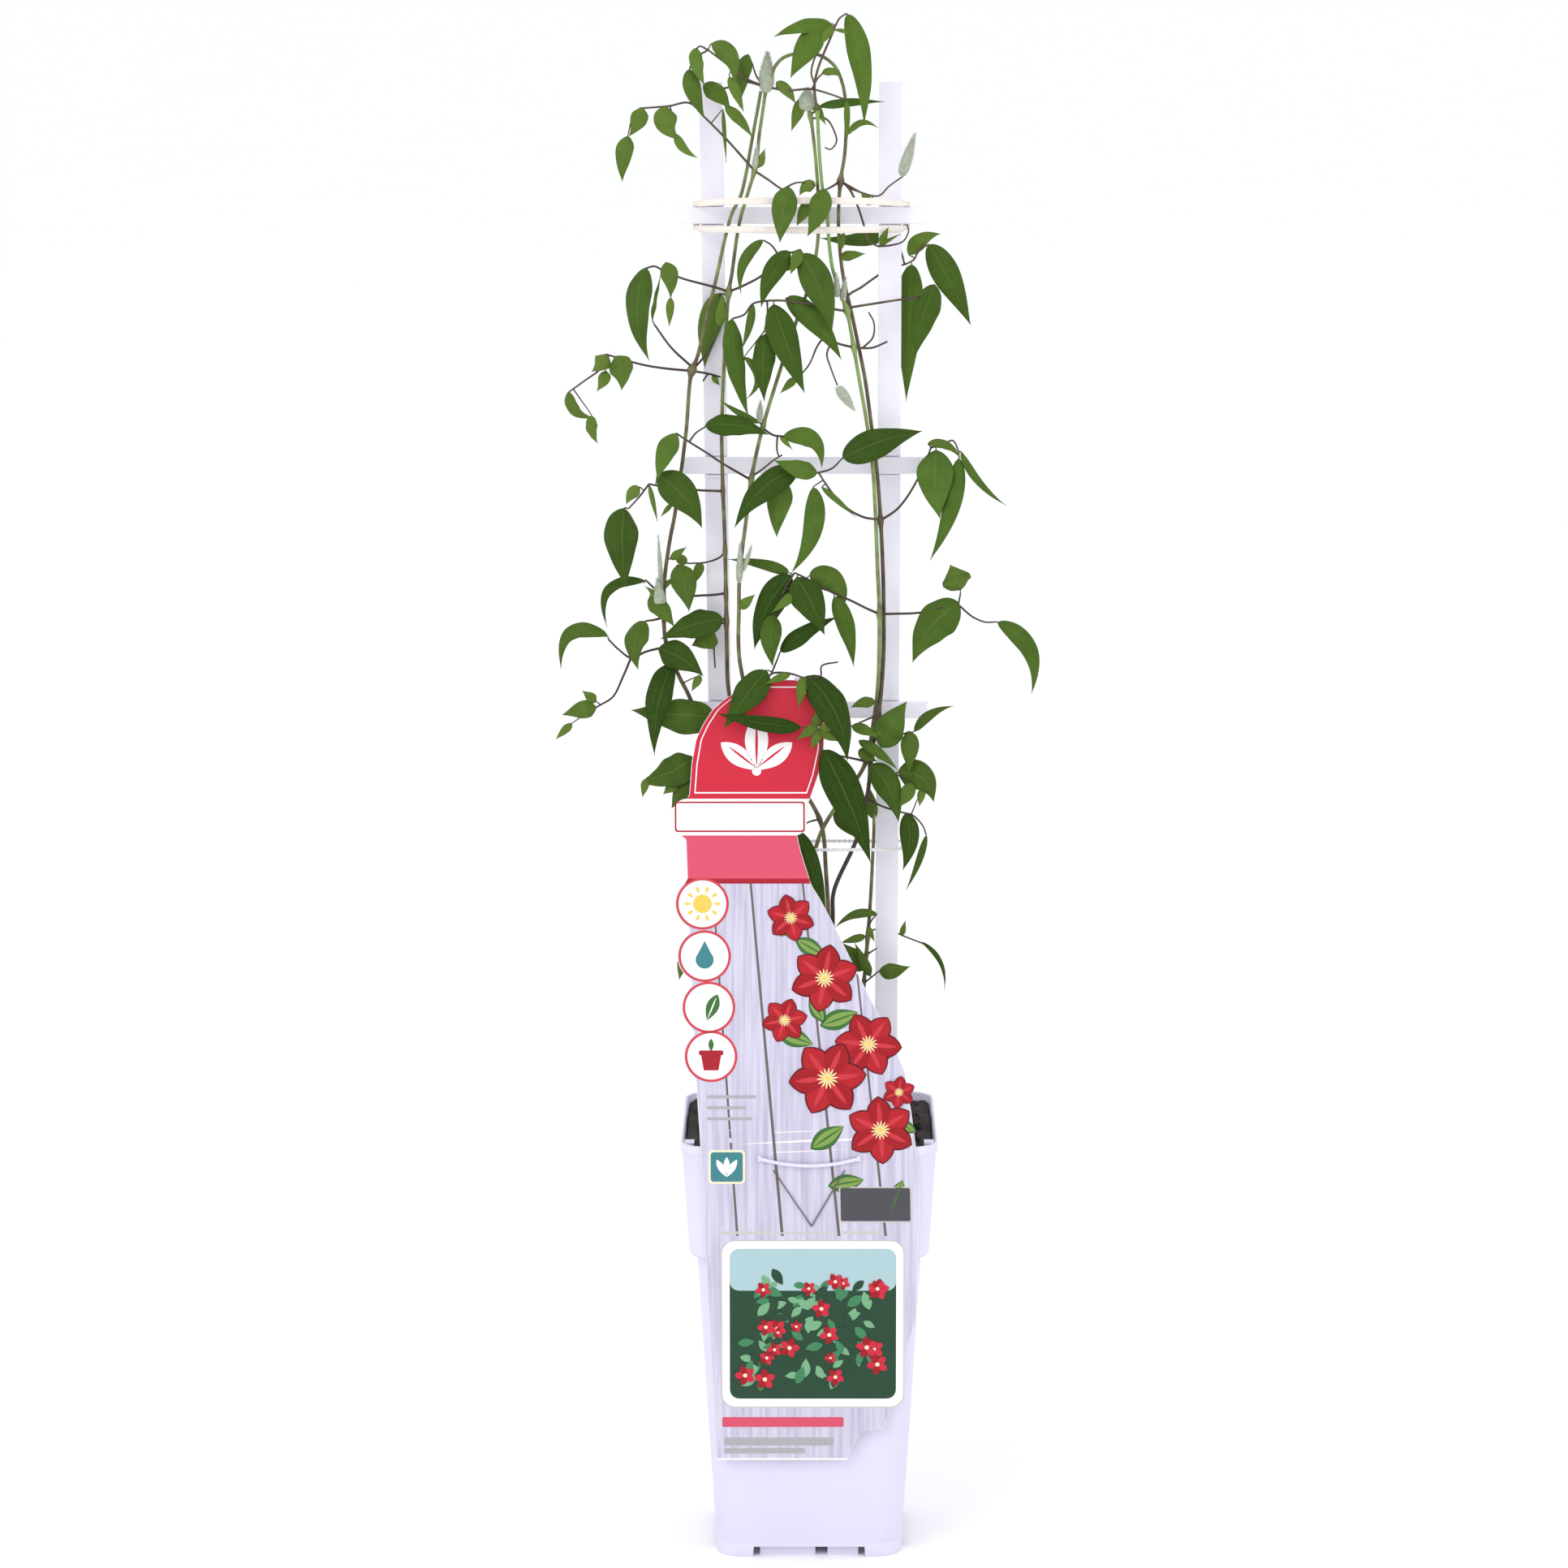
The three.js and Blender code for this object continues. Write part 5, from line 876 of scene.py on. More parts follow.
parts, colours, grains = [], [], []
for outline, ink_name, layer, grain in prints:
    points, triangles = laid_on_sheet(outline, layer)
    parts.append((points, [triangles]))
    colours.append(np.tile(linear(INK[ink_name]), (len(points), 1)))
    grains.append(np.full(len(points), grain))
artwork = put_mesh("label_print", *gathered(parts), [label_material], smooth=False)
ink_layer(artwork, np.concatenate(colours), np.concatenate(grains))
INK_DEPTH = 0.00035
film = artwork.modifiers.new("ink_depth", "SOLIDIFY")
film.thickness = INK_DEPTH
film.offset = -1.0
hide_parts("label")
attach(artwork, "root")


# Leafy stems: six climbing shoots of a young clematis. Each is one grown piece: a slim ribbed stem,
# stalks that leave it in pairs, pointed leaflets with arching veins, and a few silky buds.
# Places are as the camera sees them: side, height and depth in millimetres. Bark is how green the stem
# is at its foot, its top and its stalks, from ripe brown at 0 to fresh green at 1. A twig opens with its
# radius; a blade is its foot, its tip, its width, then how far it bows, hooks, rolls and twists; a bud is
# its foot, its tip, its radius and how many hairs it has.
PLANT = [
    {
        "name": "leafy_stem_left", "leaf": "#5a762c", "bark": (0.05, 0.7, 0.06), "foot": (-9, -4),
        "route": [
            [-24, 300, -8], [-38, 350, -8], [-50, 395, -8], [-58, 418, -8], [-62.5, 427, -8],
            [-66, 435, -7], [-69.5, 446, -6], [-70.2, 460, -5], [-69.8, 475, -5], [-67, 495, -5],
            [-65, 505, -5], [-61.5, 528, -5], [-59, 548, -5], [-56.5, 575, -5], [-53.5, 583, -5],
            [-49, 602, -5], [-44, 622, -5], [-40, 640, -4], [-36.5, 652, -3.5], [-33.2, 658, -2.5],
            [-30.5, 668, -2.5], [-28.3, 680, -2.5], [-26.5, 690, -2.5], [-24.6, 700, -3], [-23, 709, -3],
        ],
        "twigs": [
            [0.6, [-57, 577, -6], [-66, 587, -8], [-74, 598, -10]],
            [0.6, [-55.5, 576, -6], [-48, 586, -8], [-43.5, 597, -8]],
            [0.6, [-57, 575.5, -6], [-68, 577, -9], [-78, 578.5, -11], [-86, 580.5, -12],
             [-96, 583.5, -12]],
            [0.5, [-96, 583.5, -12], [-100, 577, -13], [-108, 571, -13], [-115, 566, -14]],
            [0.6, [-56, 575.5, -5], [-48, 574.5, -1], [-42.5, 573, 1]],
            [0.5, [-48, 574.5, -1], [-51, 571, -1]], [0.6, [-70, 465, -5], [-74, 470, -7], [-79, 475, -9]],
            [0.6, [-70, 457, -5], [-75, 455.5, -8], [-79, 455, -9]],
            [0.6, [-69.5, 443, -7], [-79, 440, -12], [-86, 437, -14], [-92, 441, -15], [-97, 446, -15]],
            [0.6, [-86, 437, -14], [-90, 428, -16], [-95, 418, -17], [-101, 414, -17]],
            [0.5, [-50, 396, -8], [-48, 402, -11], [-46, 407, -13]],
            [0.5, [-46, 385, -8], [-50, 387, -13], [-54, 388, -17]],
            [0.5, [-26, 300, -8], [-45, 292, -14], [-60, 291, -18]],
        ],
        "blades": [
            [-75, 600, -10, -71, 622, -7.5, 3.5, 0, 0, 60], [-43, 597, -8, -41.5, 613, -9, 5, 1],
            [-93, 583, -12, -90, 566.5, -18, 12, 3, 2, 12],
            [-97.5, 584, -12, -104.5, 575.5, -17, 9, 3, 1, -15],
            [-97.5, 576, -13, -102, 566, -18, 6, 2, 1], [-115.5, 566, -14, -103, 553.5, -19, 6, 2, -4, 20],
            [-104.5, 554.5, -19, -101.5, 541, -22, 6, 2, -1, 20], [-66, 512, -6, -71.5, 505.5, -8, 2.5, 1],
            [-67, 485, -6, -59, 491, -9, 4, 1], [-72, 463, -9, -79.5, 472, -10, 3.5, 1, -1],
            [-69.5, 471, -6, -63.5, 475, -4.5, 2.5, 0.5, 1.5],
            [-79, 474.5, -9, -97.5, 451.5, -18, 5.5, 4, -10.5, 10],
            [-77, 467, -8, -65, 452, -13, 9.5, 3, 0, -12],
            [-79, 455, -9, -82.5, 431, -17, 11.5, 4, -3, 14],
            [-97.5, 448, -15, -120, 431, -22, 7.5, 4, -11], [-103, 415.5, -17, -110, 421, -20, 5, 1],
            [-103, 413, -17, -120, 409, -23, 9, 3], [-115, 405, -20, -123, 397, -24, 4, 1],
            [-73, 441.5, -9, -51, 428, -16, 14, 4, 2, 10], [-52.5, 428.5, -15.5, -57, 420.5, -17, 4, 1],
            [-66, 434, -8, -75, 389, -26, 13, 7, -5, -18],
            [-45, 408, -12.5, -86.5, 411.5, -16, 17.5, 3, 1, 6],
            [-55, 388, -17, -82, 375, -21, 16, 3, 1.5, 8], [-79, 378, -21, -81, 368.5, -24, 4, 1],
            [-57, 379, -17, -67, 363, -21, 10, 2], [-64, 376, -18, -71, 370, -21, 6, 2],
            [-61, 291, -18, -63.5, 278, -22, 5, 2], [-46.5, 573.5, 0, -43, 569, 2, 3, 1],
            [-46, 408, -13.5, -60, 399.5, -15, 5, 1],
        ],
        "buds": [
            [-72, 460.5, -8.6, -73.2, 476, -9.6, 3, 300], [-71.2, 468, -6, -72.8, 497.5, -9, 1.2, 200],
        ],
    },
    {
        "name": "leafy_stem_centre_left", "leaf": "#5f7c32", "bark": (0.12, 0.72, 0.06), "foot": (-3, 5),
        "route": [
            [-12, 300, 0], [-26, 360, -2], [-36, 405, -3], [-39.3, 424, -4], [-39.8, 440, -4],
            [-40.2, 470, -4], [-40.8, 500, -4], [-41.5, 518, -4], [-42, 545, -4], [-41.5, 565, -4],
            [-40.5, 583, -4], [-39.5, 600, -4], [-38.5, 614, -4], [-37, 622, -4], [-34.5, 640, -3.5],
            [-32.5, 650, -4.5], [-31, 655, -5], [-29.5, 660, -5.5], [-27, 668, -5.5], [-25, 676, -5.5],
            [-23.8, 688, -5.5], [-22, 700, -5.5], [-20.5, 711, -5.5],
        ],
        "twigs": [
            [0.6, [-23, 711, -6], [-30, 715, -8], [-40, 722.5, -11], [-48, 728.5, -12]],
            [0.5, [-48, 728.5, -12], [-52, 730.3, -12], [-53.5, 729, -12]],
            [0.5, [-48, 728.5, -12], [-55, 724, -12], [-57, 719, -12]],
            [0.6, [-22, 711, -5], [-31, 713.5, -5], [-40, 710.5, -7], [-50, 711, -8]],
            [0.5, [-22, 711, -5], [-25, 716, -4], [-27, 722, -4]],
            [0.6, [-20, 710.5, -6], [-10, 709.5, -10], [1, 710, -12], [9, 708, -13], [16, 705.5, -13]],
            [0.5, [1, 710, -12], [4, 715, -13], [7, 718, -13]],
            [0.6, [-26.5, 671, -6], [-31, 677, -8], [-40, 687, -11], [-50, 697, -13], [-57, 703.5, -12],
             [-67, 702, -10], [-80, 701, -8]],
            [0.5, [-80, 701, -8], [-85, 694, -10]],
            [0.6, [-26, 671, -6], [-20, 667.5, -9], [-12, 662.5, -12], [-10, 664, -13]],
            [0.5, [-12, 662.5, -12], [-7, 665.5, -10], [-2, 666, -7]],
            [0.6, [-39, 614, -5], [-45, 616, -8], [-60, 620, -11], [-69, 623.5, -12], [-74, 626, -11],
             [-78, 625, -10]],
            [0.6, [-38, 614, -5], [-32, 616.5, -8], [-22, 622, -10], [-14, 630.5, -11], [-7, 633, -11]],
            [0.5, [-14, 630.5, -11], [-18, 636, -10], [-22, 638.5, -10]],
            [0.5, [-39, 612, -3], [-43, 613, -0.5]],
            [0.6, [-42, 518, -5], [-50, 518.3, -8], [-58, 518.8, -11], [-70, 520, -12], [-77, 521.5, -12]],
            [0.5, [-77, 521.5, -12], [-82, 515, -11], [-87, 509.5, -11]],
            [0.6, [-40, 456, -5], [-41.5, 456, -6]],
            [0.6, [-40, 468, -4], [-50, 467.5, -7.5], [-62, 468.5, -8.5], [-63, 482, -9]],
            [0.5, [-40, 454, -4], [-45, 453, -1.2], [-46, 444, -0.6], [-45.5, 432, 1]],
            [0.5, [-41, 490, -3], [-43, 486, -0.5], [-50, 483.5, 1.5], [-59, 483, 2]],
        ],
        "blades": [
            [-46.5, 731.5, -12, -36, 712, -17, 9, 3, 5, 10], [-38, 716, -16, -31, 699, -19, 5, 2],
            [-53.5, 729.5, -12, -49.5, 711.5, -17, 7, 2, -2, -15],
            [-57, 719.5, -12, -49.5, 696, -17, 8.5, 3, -1.5], [-50.5, 712, -8, -37.5, 700, -11, 9, 2, 1.5],
            [-40, 702, -10.5, -27, 687, -13, 5.5, 1, 1], [-29, 726.5, -5, -33, 701, -7, 8.5, 2, -1.5, 15],
            [-41, 700.5, -10.5, -39.5, 675, -14, 2, 2], [18, 704.5, -13, 18, 684, -16, 3, 2],
            [-15.5, 713.5, -8, -6.5, 703, -11, 5.5, 1, 1], [6, 717.5, -13, 16, 715, -15, 4, 1, 2],
            [-80, 701.5, -8, -86, 687.5, -12, 8.5, 3, 1.5],
            [-86.3, 688, -11, -89, 666, -15, 8.8, 3, -0.5, 12],
            [-68, 702, -10, -62.5, 686, -14, 11.5, 3, -2.5, 10],
            [-63.5, 689, -13, -53, 677.5, -16, 4.5, 1, -2], [-10, 664, -13, -14, 637, -17, 12, 2, -0.5],
            [3, 664.5, -8.5, -4.5, 659.5, -7.5, 6, 0.5, -2], [-24, 673, -6.5, -21, 682, -8.5, 4, 1],
            [-78, 625.5, -10, -76.5, 580.5, -18, 12.5, 5, -4, 15],
            [-68.5, 628, -12, -66.5, 611, -15, 8.5, 2, 1, -10], [-66.3, 611, -14.5, -67, 597, -17, 4, 1],
            [-22, 638.5, -10, -32.5, 612.5, -14, 5.5, 2, -4.5],
            [-9, 633, -11.5, -23, 606, -18, 10, 3, -3, -10], [-4, 634, -12, -9, 622, -15.5, 6, 1.5],
            [-6, 629, -10.5, -15, 623, -10.5, 5, 0.5], [-4, 632, -11.5, 11, 594, -17, 15, 4, 2.5, 10],
            [-42.5, 613, -0.5, -50, 577, 2, 12, 0, -2], [-73, 526, -12.5, -51.5, 500, -18, 16, 4, 3, 8],
            [-89, 510, -11, -88, 471, -19, 16.5, 5, -2.5, -12],
            [-81.5, 520, -11.5, -88, 511.5, -13, 6, 1, -1], [-77, 521, -12, -73, 503, -12, 2.5, 1],
            [-41.5, 456, -6.5, -72, 446, -13, 14, 4, -1, 5],
            [-63.5, 482.5, -9, -58, 459.5, -13, 12.5, 3, 1], [-59, 483, 2, -66, 488, 4, 5, 1],
            [-52, 483.5, 1.3, -56, 472.5, 3, 5, 0.5], [-46, 450, -0.5, -57, 443, -4.5, 12, 2, 1, 0],
        ],
        "buds": [
            [-20.5, 708, -5.5, -19.8, 728, -6.2, 3.6, 900], [-26, 672, -6.5, -24.6, 684, -8, 1.5, 160],
        ],
    },
    {
        "name": "leafy_stem_centre", "leaf": "#597a2b", "bark": (0.3, 0.75, 0.1), "foot": (8, -8),
        "route": [
            [9.5, 305, -6], [8, 335, -6], [7, 350, -6], [5, 358, -6], [1, 366, -6], [-12, 385, -6],
            [-26, 408, -6], [-33.5, 435, -7], [-33.9, 462, -7], [-33.5, 478, -7], [-30.5, 503, -7],
            [-27.8, 524, -6.5], [-22.5, 548, -7], [-14, 576, -8], [-6, 600, -8], [1, 620, -7],
            [4, 637, -5], [4.5, 652, -4], [4, 665, -4], [2.8, 680, -4], [0.8, 696, -4], [-1, 704, -4],
        ],
        "twigs": [
            [0.6, [-28, 524, -7], [-35, 527.5, -9], [-41, 531, -10], [-50, 537, -11], [-58, 542, -12],
             [-64, 546, -12]],
            [0.5, [-58, 542, -12], [-54.5, 546, -12], [-50, 549, -12]],
            [0.5, [-27, 525, -7], [-22, 529, -9], [-17, 533, -10], [-13, 535.5, -11]],
            [0.6, [-21.5, 548, -8], [-17, 545, -10], [-12, 544.5, -11]],
            [0.5, [-15, 544.5, -10], [-15.5, 538, -11], [-14.5, 534.5, -12]],
            [0.5, [-22.5, 550, -7.5], [-24, 551, -9]],
            [0.6, [-30, 413, -7], [-26, 421, -10], [-20, 427.5, -16], [-17.5, 429.5, -18],
             [-10, 429.5, -20], [-2, 427, -22]],
            [0.5, [-18.5, 429, -17], [-15.5, 436, -16], [-14, 440, -15]],
            [0.5, [-2, 427, -22], [5.5, 428, -23], [6, 433, -23], [14, 435, -23]],
            [0.5, [3, 697, -4.5], [8, 696, -4], [12, 690, -4], [13, 685, -4], [10, 681.5, -4],
             [7.5, 682.5, -4]],
            [0.6, [1.5, 698, -4.5], [4, 700.5, -5.2], [6, 701.5, -5.5]],
            [0.5, [4.5, 357, -6.5], [0, 356.5, -12], [-4, 354, -17.5]],
        ],
        "blades": [
            [-64, 546, -12, -73, 523, -18, 10, 3, -1, 8], [-50, 549.5, -12, -19, 545, -15, 10.5, 3, 2],
            [-24, 551, -9, -43, 562, -12, 3.5, 2, 1], [-12.5, 544, -11, 6, 528.5, -15, 9, 2, 8],
            [-14, 544.5, -10.5, -8, 538, -13, 2.5, 1], [-33.8, 461, -8, -26, 468, -11, 5, 1],
            [-14, 440, -15, 14, 457, -12, 8.5, 2, 1.5, -8],
            [-20.5, 431, -17, -41.5, 402, -31, 15, 4, 0, 6], [-1, 428, -22, 18.5, 386, -33, 16, 5, 4, -8],
            [-3, 428, -22, -5, 412, -28, 5, 1], [-24, 424, -12, -29, 416, -17, 4, 1],
            [2, 704, -5.5, 8, 693, -8, 4, 1], [-3, 706, -5, -8.5, 690, -7, 6, 1],
            [5, 702, -5.5, 36, 704, -9, 4.5, 2, 0.5], [-5.5, 352, -18, 8.5, 309, -20, 10, 2, 0.5],
            [0, 657, -6.2, -6, 645, -8.5, 6, 1], [-2.5, 427.5, -22, 8, 414, -25, 7, 1, 2],
            [-9, 429.5, -20, -22, 424, -21.5, 4, 1],
        ],
        "buds": [
            [-1.2, 699.6, -4.2, -0.9, 711, -4.8, 4.4, 420], [-33.8, 473, -7.5, -33, 494, -9.5, 1.7, 240],
            [-31.8, 479, -7.5, -27.5, 492.5, -9.8, 1.1, 120], [-24, 551, -8.5, -23.3, 562, -10, 1.6, 160],
        ],
    },
    {
        "name": "leafy_stem_right", "leaf": "#567429", "bark": (0.45, 0.95, 0.14), "foot": (4, 3),
        "route": [
            [-2, 300, 1], [0, 330, 0], [3, 343, 0], [7, 354, 0], [16, 368, -1], [22, 376, -2],
            [27.5, 386, -3], [31.5, 408, -3], [33, 420, -5.5], [34, 440, -7.5], [34, 459, -7.5],
            [33, 480, -7.2], [32, 505, -6], [30.5, 530, -7.8], [27.5, 552, -8.5], [24, 572, -6.5],
            [20, 595, -5], [18, 605, -5], [14.5, 614, -5.5], [11, 626, -6.5], [9.3, 640, -6],
            [8.6, 652, -5.4], [6.4, 663, -6.6], [5.2, 675, -7.4], [4.3, 690, -7.6], [4, 700, -9],
        ],
        "twigs": [
            [0.7, [5, 698, -9], [2.5, 711, -10.5], [4, 719, -11], [7, 727, -11], [10.5, 735, -11],
             [12.5, 740, -11]],
            [0.5, [2.5, 712, -10.5], [1, 718, -9.5], [4, 728, -9], [9, 737, -10]],
            [0.6, [18, 605, -6], [12, 605.5, -9], [0, 608, -13], [-11, 609.5, -14], [-20, 609.5, -14],
             [-27, 608, -13], [-31, 603, -12], [-36.5, 601, -11]],
            [0.5, [-20, 609.5, -14], [-20, 602, -14.5], [-21.5, 595, -15]],
            [0.6, [18.5, 605.5, -6], [30, 608, -6], [43, 610, -6], [50, 611, -6], [60, 617, -6]],
            [0.6, [18, 605, -4], [18.5, 611.5, -3], [25, 616, 3], [32, 621, 13], [38, 625, 14],
             [46, 627, 12], [50, 629, 8]],
            [0.5, [50, 629, 8], [53, 634, 4], [56.5, 636, 2]],
            [0.6, [21.8, 587, -6], [30, 587, -6.5], [37.5, 590, -7]],
            [0.5, [26, 587.5, -6.5], [30.5, 592, -7], [31, 599, -7.5], [28.5, 604, -8]],
            [0.6, [21.8, 587, -6], [14, 589, -9], [7, 592, -10]],
            [0.5, [11, 590, -9.5], [8.5, 584, -10.5], [10.5, 577, -11], [13.5, 569, -11]],
            [0.5, [7, 592, -10], [4, 588, -11.5], [0, 579, -13], [-5, 573, -13]],
            [0.6, [34, 459, -8], [28, 461, -10], [20, 465, -12], [12, 468.5, -13], [7, 471, -14],
             [0, 475, -14], [-7, 478.5, -13]],
            [0.5, [-7, 478.5, -13], [-12, 470, -14.5], [-15, 459, -15]],
            [0.6, [35, 459, -8], [40, 458.5, -10], [53, 459, -14], [63, 461, -14], [72, 463, -13]],
            [0.5, [72, 463, -13], [79, 457, -13], [85, 454.5, -13], [90, 454.5, -13]],
            [0.5, [72, 463, -13], [73, 468, -13.5]],
            [0.6, [27, 386, -4], [20, 388, -12], [12, 389.5, -20], [6, 391, -27]],
            [0.5, [6, 391, -27], [5.5, 398, -27.5], [4, 403, -27.5]],
            [0.5, [12.5, 740, -11], [14.5, 743.5, -11.5], [18, 745.8, -11]],
            [0.5, [46, 627, 12], [43.5, 634, 12.6], [38.5, 641.5, 12.5]],
        ],
        "blades": [
            [11, 740, -11, -17, 734.5, -15, 7.5, 2, -2], [6, 739, -11.5, -9, 715, -16, 12, 3, -1, -8],
            [10, 741, -11, 6, 731, -13, 6, 1], [18, 745.5, -11, 26, 692.5, -18, 11, 4, 3.5, 12],
            [12, 738, -11, 23, 733.5, -13, 2, 1, 1], [-11, 611, -13, 15.5, 581, -14, 11, 0.5, 3, 6],
            [-17, 608, -14, -2, 565, -21, 14.5, 5, -1.5, -8],
            [-20.5, 594, -15, -21.5, 561, -20, 11, 4, -0.5, 10],
            [-37, 601, -11, -29, 553.5, -18, 10, 3, -2.5, -14],
            [-27, 608, -12.8, -32.5, 586, -15, 4, 2, 1],
            [-31, 582.5, -15.5, -30.5, 562, -20, 4.5, 2, 6.5, 5],
            [60, 617.5, -6, 50.5, 582, -12, 13, 4, -0.5, 8], [49, 627, 9.5, 46.5, 561, 15, 13, -3, 0],
            [57, 636.5, 2, 77.5, 597.5, -5, 13.5, 5, 1, 10], [47.5, 631.5, 7, 63, 641.5, 4, 8, 2, 2.5],
            [-6, 573, -13, -14, 565, -16, 4, 1], [-10, 478.5, -12, -39.5, 485, 0, 5.5, -3, -2],
            [-9, 477.5, -12.5, -26.5, 441, -15, 14.5, 1, -3, 8],
            [-6, 476.5, -14.5, 7.5, 448, -21, 16, 5, 0, -6], [0, 477, -13.5, 17, 461, -13, 12, 0.5, 6],
            [-17, 458, -15, -17.5, 432.5, -20, 10.5, 3, -1.5],
            [12, 467, -13, 21.5, 432.5, -19, 9, 3, 2, 10], [-6, 469, -17.5, -18, 459, -21, 5, 1],
            [72.5, 464, -13, 50, 434.5, -20, 18.5, 4, -3, 6], [73, 470, -13.5, 68, 482.5, -15, 14.5, 2],
            [91, 454.5, -13, 107.5, 419, -20, 9, 4, 8], [6.5, 392, -27.5, 30, 336, -44, 17.5, 5, 2, 6],
            [-4, 403, -28, -45, 410, -30, 8, 3, 1.5], [3, 403, -27, 5, 413, -25.5, 5, 0.5],
            [5, 402, -28, 1, 392, -31.5, 5, 1], [6, 401, -28, 15, 396, -31, 5, 1],
            [4, 404, -28, -6, 397, -31, 5, 1], [13, 364, 1, 27, 347, 6, 11, 2],
            [38, 641.5, 12.5, 5, 639.5, 12.8, 7, -1, 1.5], [6, 400, -28, 10, 406, -30, 5, 1],
        ],
        "buds": [
            [13.5, 568.5, -11, 22, 556.5, -15, 2.6, 160], [13.4, 611, -6.8, 12.8, 623, -9, 1.7, 160],
        ],
    },
    {
        "name": "leafy_stem_arching", "leaf": "#5b7b2f", "bark": (0.0, 0.62, 0.1), "foot": (14, -5),
        "route": [
            [11.5, 310, -2], [12, 322, -2], [21.5, 344, -4], [26, 356, -6], [29, 375, -7], [30, 388, -7],
            [33, 405, -7.2], [34.8, 420, -5.4], [36, 440, -3.5], [36, 459, -3.5], [35.6, 480, -3.5],
            [34.4, 504, -3.5], [32.4, 530, -4.5], [29.6, 552, -3.5], [26.8, 572, -2], [23.2, 590, -1],
            [20, 605, 0], [16.5, 620, 0], [14.6, 635, -1], [14, 650, -2.8], [15, 667, -4], [17, 680, -4],
            [17.5, 700, -4], [16, 712, -4], [12, 721, -5], [5, 726, -5], [-4, 727, -5], [-12, 725, -6],
            [-16, 721, -7], [-18, 716, -8],
        ],
        "twigs": [
            [0.6, [14.5, 667, -5], [11, 664, -9], [7, 662, -13]],
            [0.6, [15.5, 667, -5], [19, 663, -4], [23, 655, -2.5], [26, 646, -2], [28.5, 638, -3],
             [33, 635.5, -4]],
            [0.5, [33, 635.5, -4], [39, 636, -8.5], [45, 638, -12], [47.5, 643, -12], [46.5, 646, -12]],
            [0.5, [16, 667, -5], [25, 661, -4]],
            [0.5, [18, 662, -4], [33, 659.5, -4], [38, 664, -5], [45, 669, -6]],
            [0.6, [35.5, 504, -4.5], [34, 504.2, -9.5], [31, 504.6, -12], [27, 505.2, -13.5],
             [20, 508.5, -15], [12, 516, -16], [7, 523, -16], [4, 527, -15], [0, 526, -14], [-5, 527, -13]],
            [0.5, [4, 527, -15], [11, 529, -14.5], [16, 534, -13.5]],
            [0.6, [36.5, 504.5, -4], [42, 509, -5], [47, 515, -6], [52, 523.5, -7], [56, 532, -7],
             [58.5, 539, -7]],
            [0.5, [58.5, 539, -7], [65, 541, -7], [69, 542.5, -7], [72, 537, -7]],
            [0.5, [31, 408, -7.5], [34, 402, -10], [38, 396, -11], [44, 399, -12]],
            [0.5, [29.5, 385, -7.5], [34, 383, -11], [42, 380, -12]],
            [0.5, [27, 368, -7.5], [36, 364, -13], [46, 361, -16], [50, 360, -16], [55, 355, -16],
             [57, 350, -16]],
            [0.5, [31, 409, -7.5], [26, 406, -10], [20.5, 403.5, -11.5]],
        ],
        "blades": [
            [7, 663, -13, -1, 640, -16, 10.5, 2, 1.2], [34, 636, -4.5, 38, 645, -12.5, 4, 1],
            [33, 635.5, -4, 44, 641.5, -11, 2, 1], [30, 655.5, -4, 24.5, 661, -6, 4.5, 0.5],
            [18.5, 689, -4.5, 33, 691.5, -7, 3.5, 1, 4], [14.5, 630.5, -1, 27, 632, -4, 5, 1],
            [15, 634, -2, 17, 645, -4, 3, 0.5], [-5, 529, -13, -36, 500, -20, 13, 4, -4, 5],
            [4, 527, -15.5, -17, 533, -18, 9, 2, 1],
            [-12, 523, -12.5, -15.5, 495.5, -12.5, 12, 0.5, -1.5, 10],
            [6, 520, -16.5, 22.5, 505.5, -19, 3, 1], [16, 534, -13.5, 54.5, 547, -14, 15, 2, 1.5],
            [61, 538, -7, 63, 504.5, -15, 18, 4, -1, 8], [57, 541, -7.5, 73, 533.5, -10, 4.5, 1, 3],
            [73, 537, -7, 95, 511, -13, 4, 2, -3], [72, 534, -7.5, 58, 484, -16, 9, 3, 3],
            [32, 415.5, -8, 20, 412.5, -12, 5.5, 1, -1], [31, 404, -10, 38, 398, -13, 6, 1],
            [35, 393, -11, 47.5, 416, -16, 15, 3, 1], [51, 401, -12.5, 70, 413.5, -17, 5, 2, 2.5],
            [49, 401, -13, 48.5, 381, -16, 9, 2], [24, 396.5, -10, 43, 382, -15, 5.5, 2, 1],
            [30, 385, -10.5, 43.5, 356, -18, 13, 3, 3, 8], [43, 381, -12.5, 60.5, 366, -17, 15, 3, 5],
            [55, 373, -15.5, 53.5, 364, -18, 4, 1], [49, 376, -17.5, 44, 364, -22, 7, 1, 1],
            [47, 361, -16, 45.5, 332.5, -21, 9.5, 3, 2.5], [57, 350, -16, 47, 322.5, -22, 3.5, 2, 1],
            [20.5, 403.5, -11.5, 34, 397.5, -13, 5.5, 1, 1], [24, 392, -9.5, 33, 386, -9, 6, 0.5],
            [2, 520, -15.5, -9, 478, -19, 10, 4, 5, 0],
        ],
        "buds": [
            [15.8, 609, -4.6, 17.4, 621, -8, 1.6, 160], [44, 668.5, -6, 50.5, 689.5, -9, 2.7, 420],
        ],
    },
    {
        "name": "leafy_stem_low", "leaf": "#4f6c28", "bark": (0.3, 0.6, 0.2), "foot": (22, 2),
        "route": [
            [24, 250, 0], [27, 280, -2], [28.4, 297, -3], [30, 320, -3], [31, 341, -2.5],
            [31.5, 352, -1.5], [31.5, 364, -0.5],
        ],
        "twigs": [
            [0.5, [28.4, 302, -4], [30, 307, -6], [33, 311, -8]],
            [0.5, [27, 276, -3], [31, 280, -6], [34, 282.5, -7]],
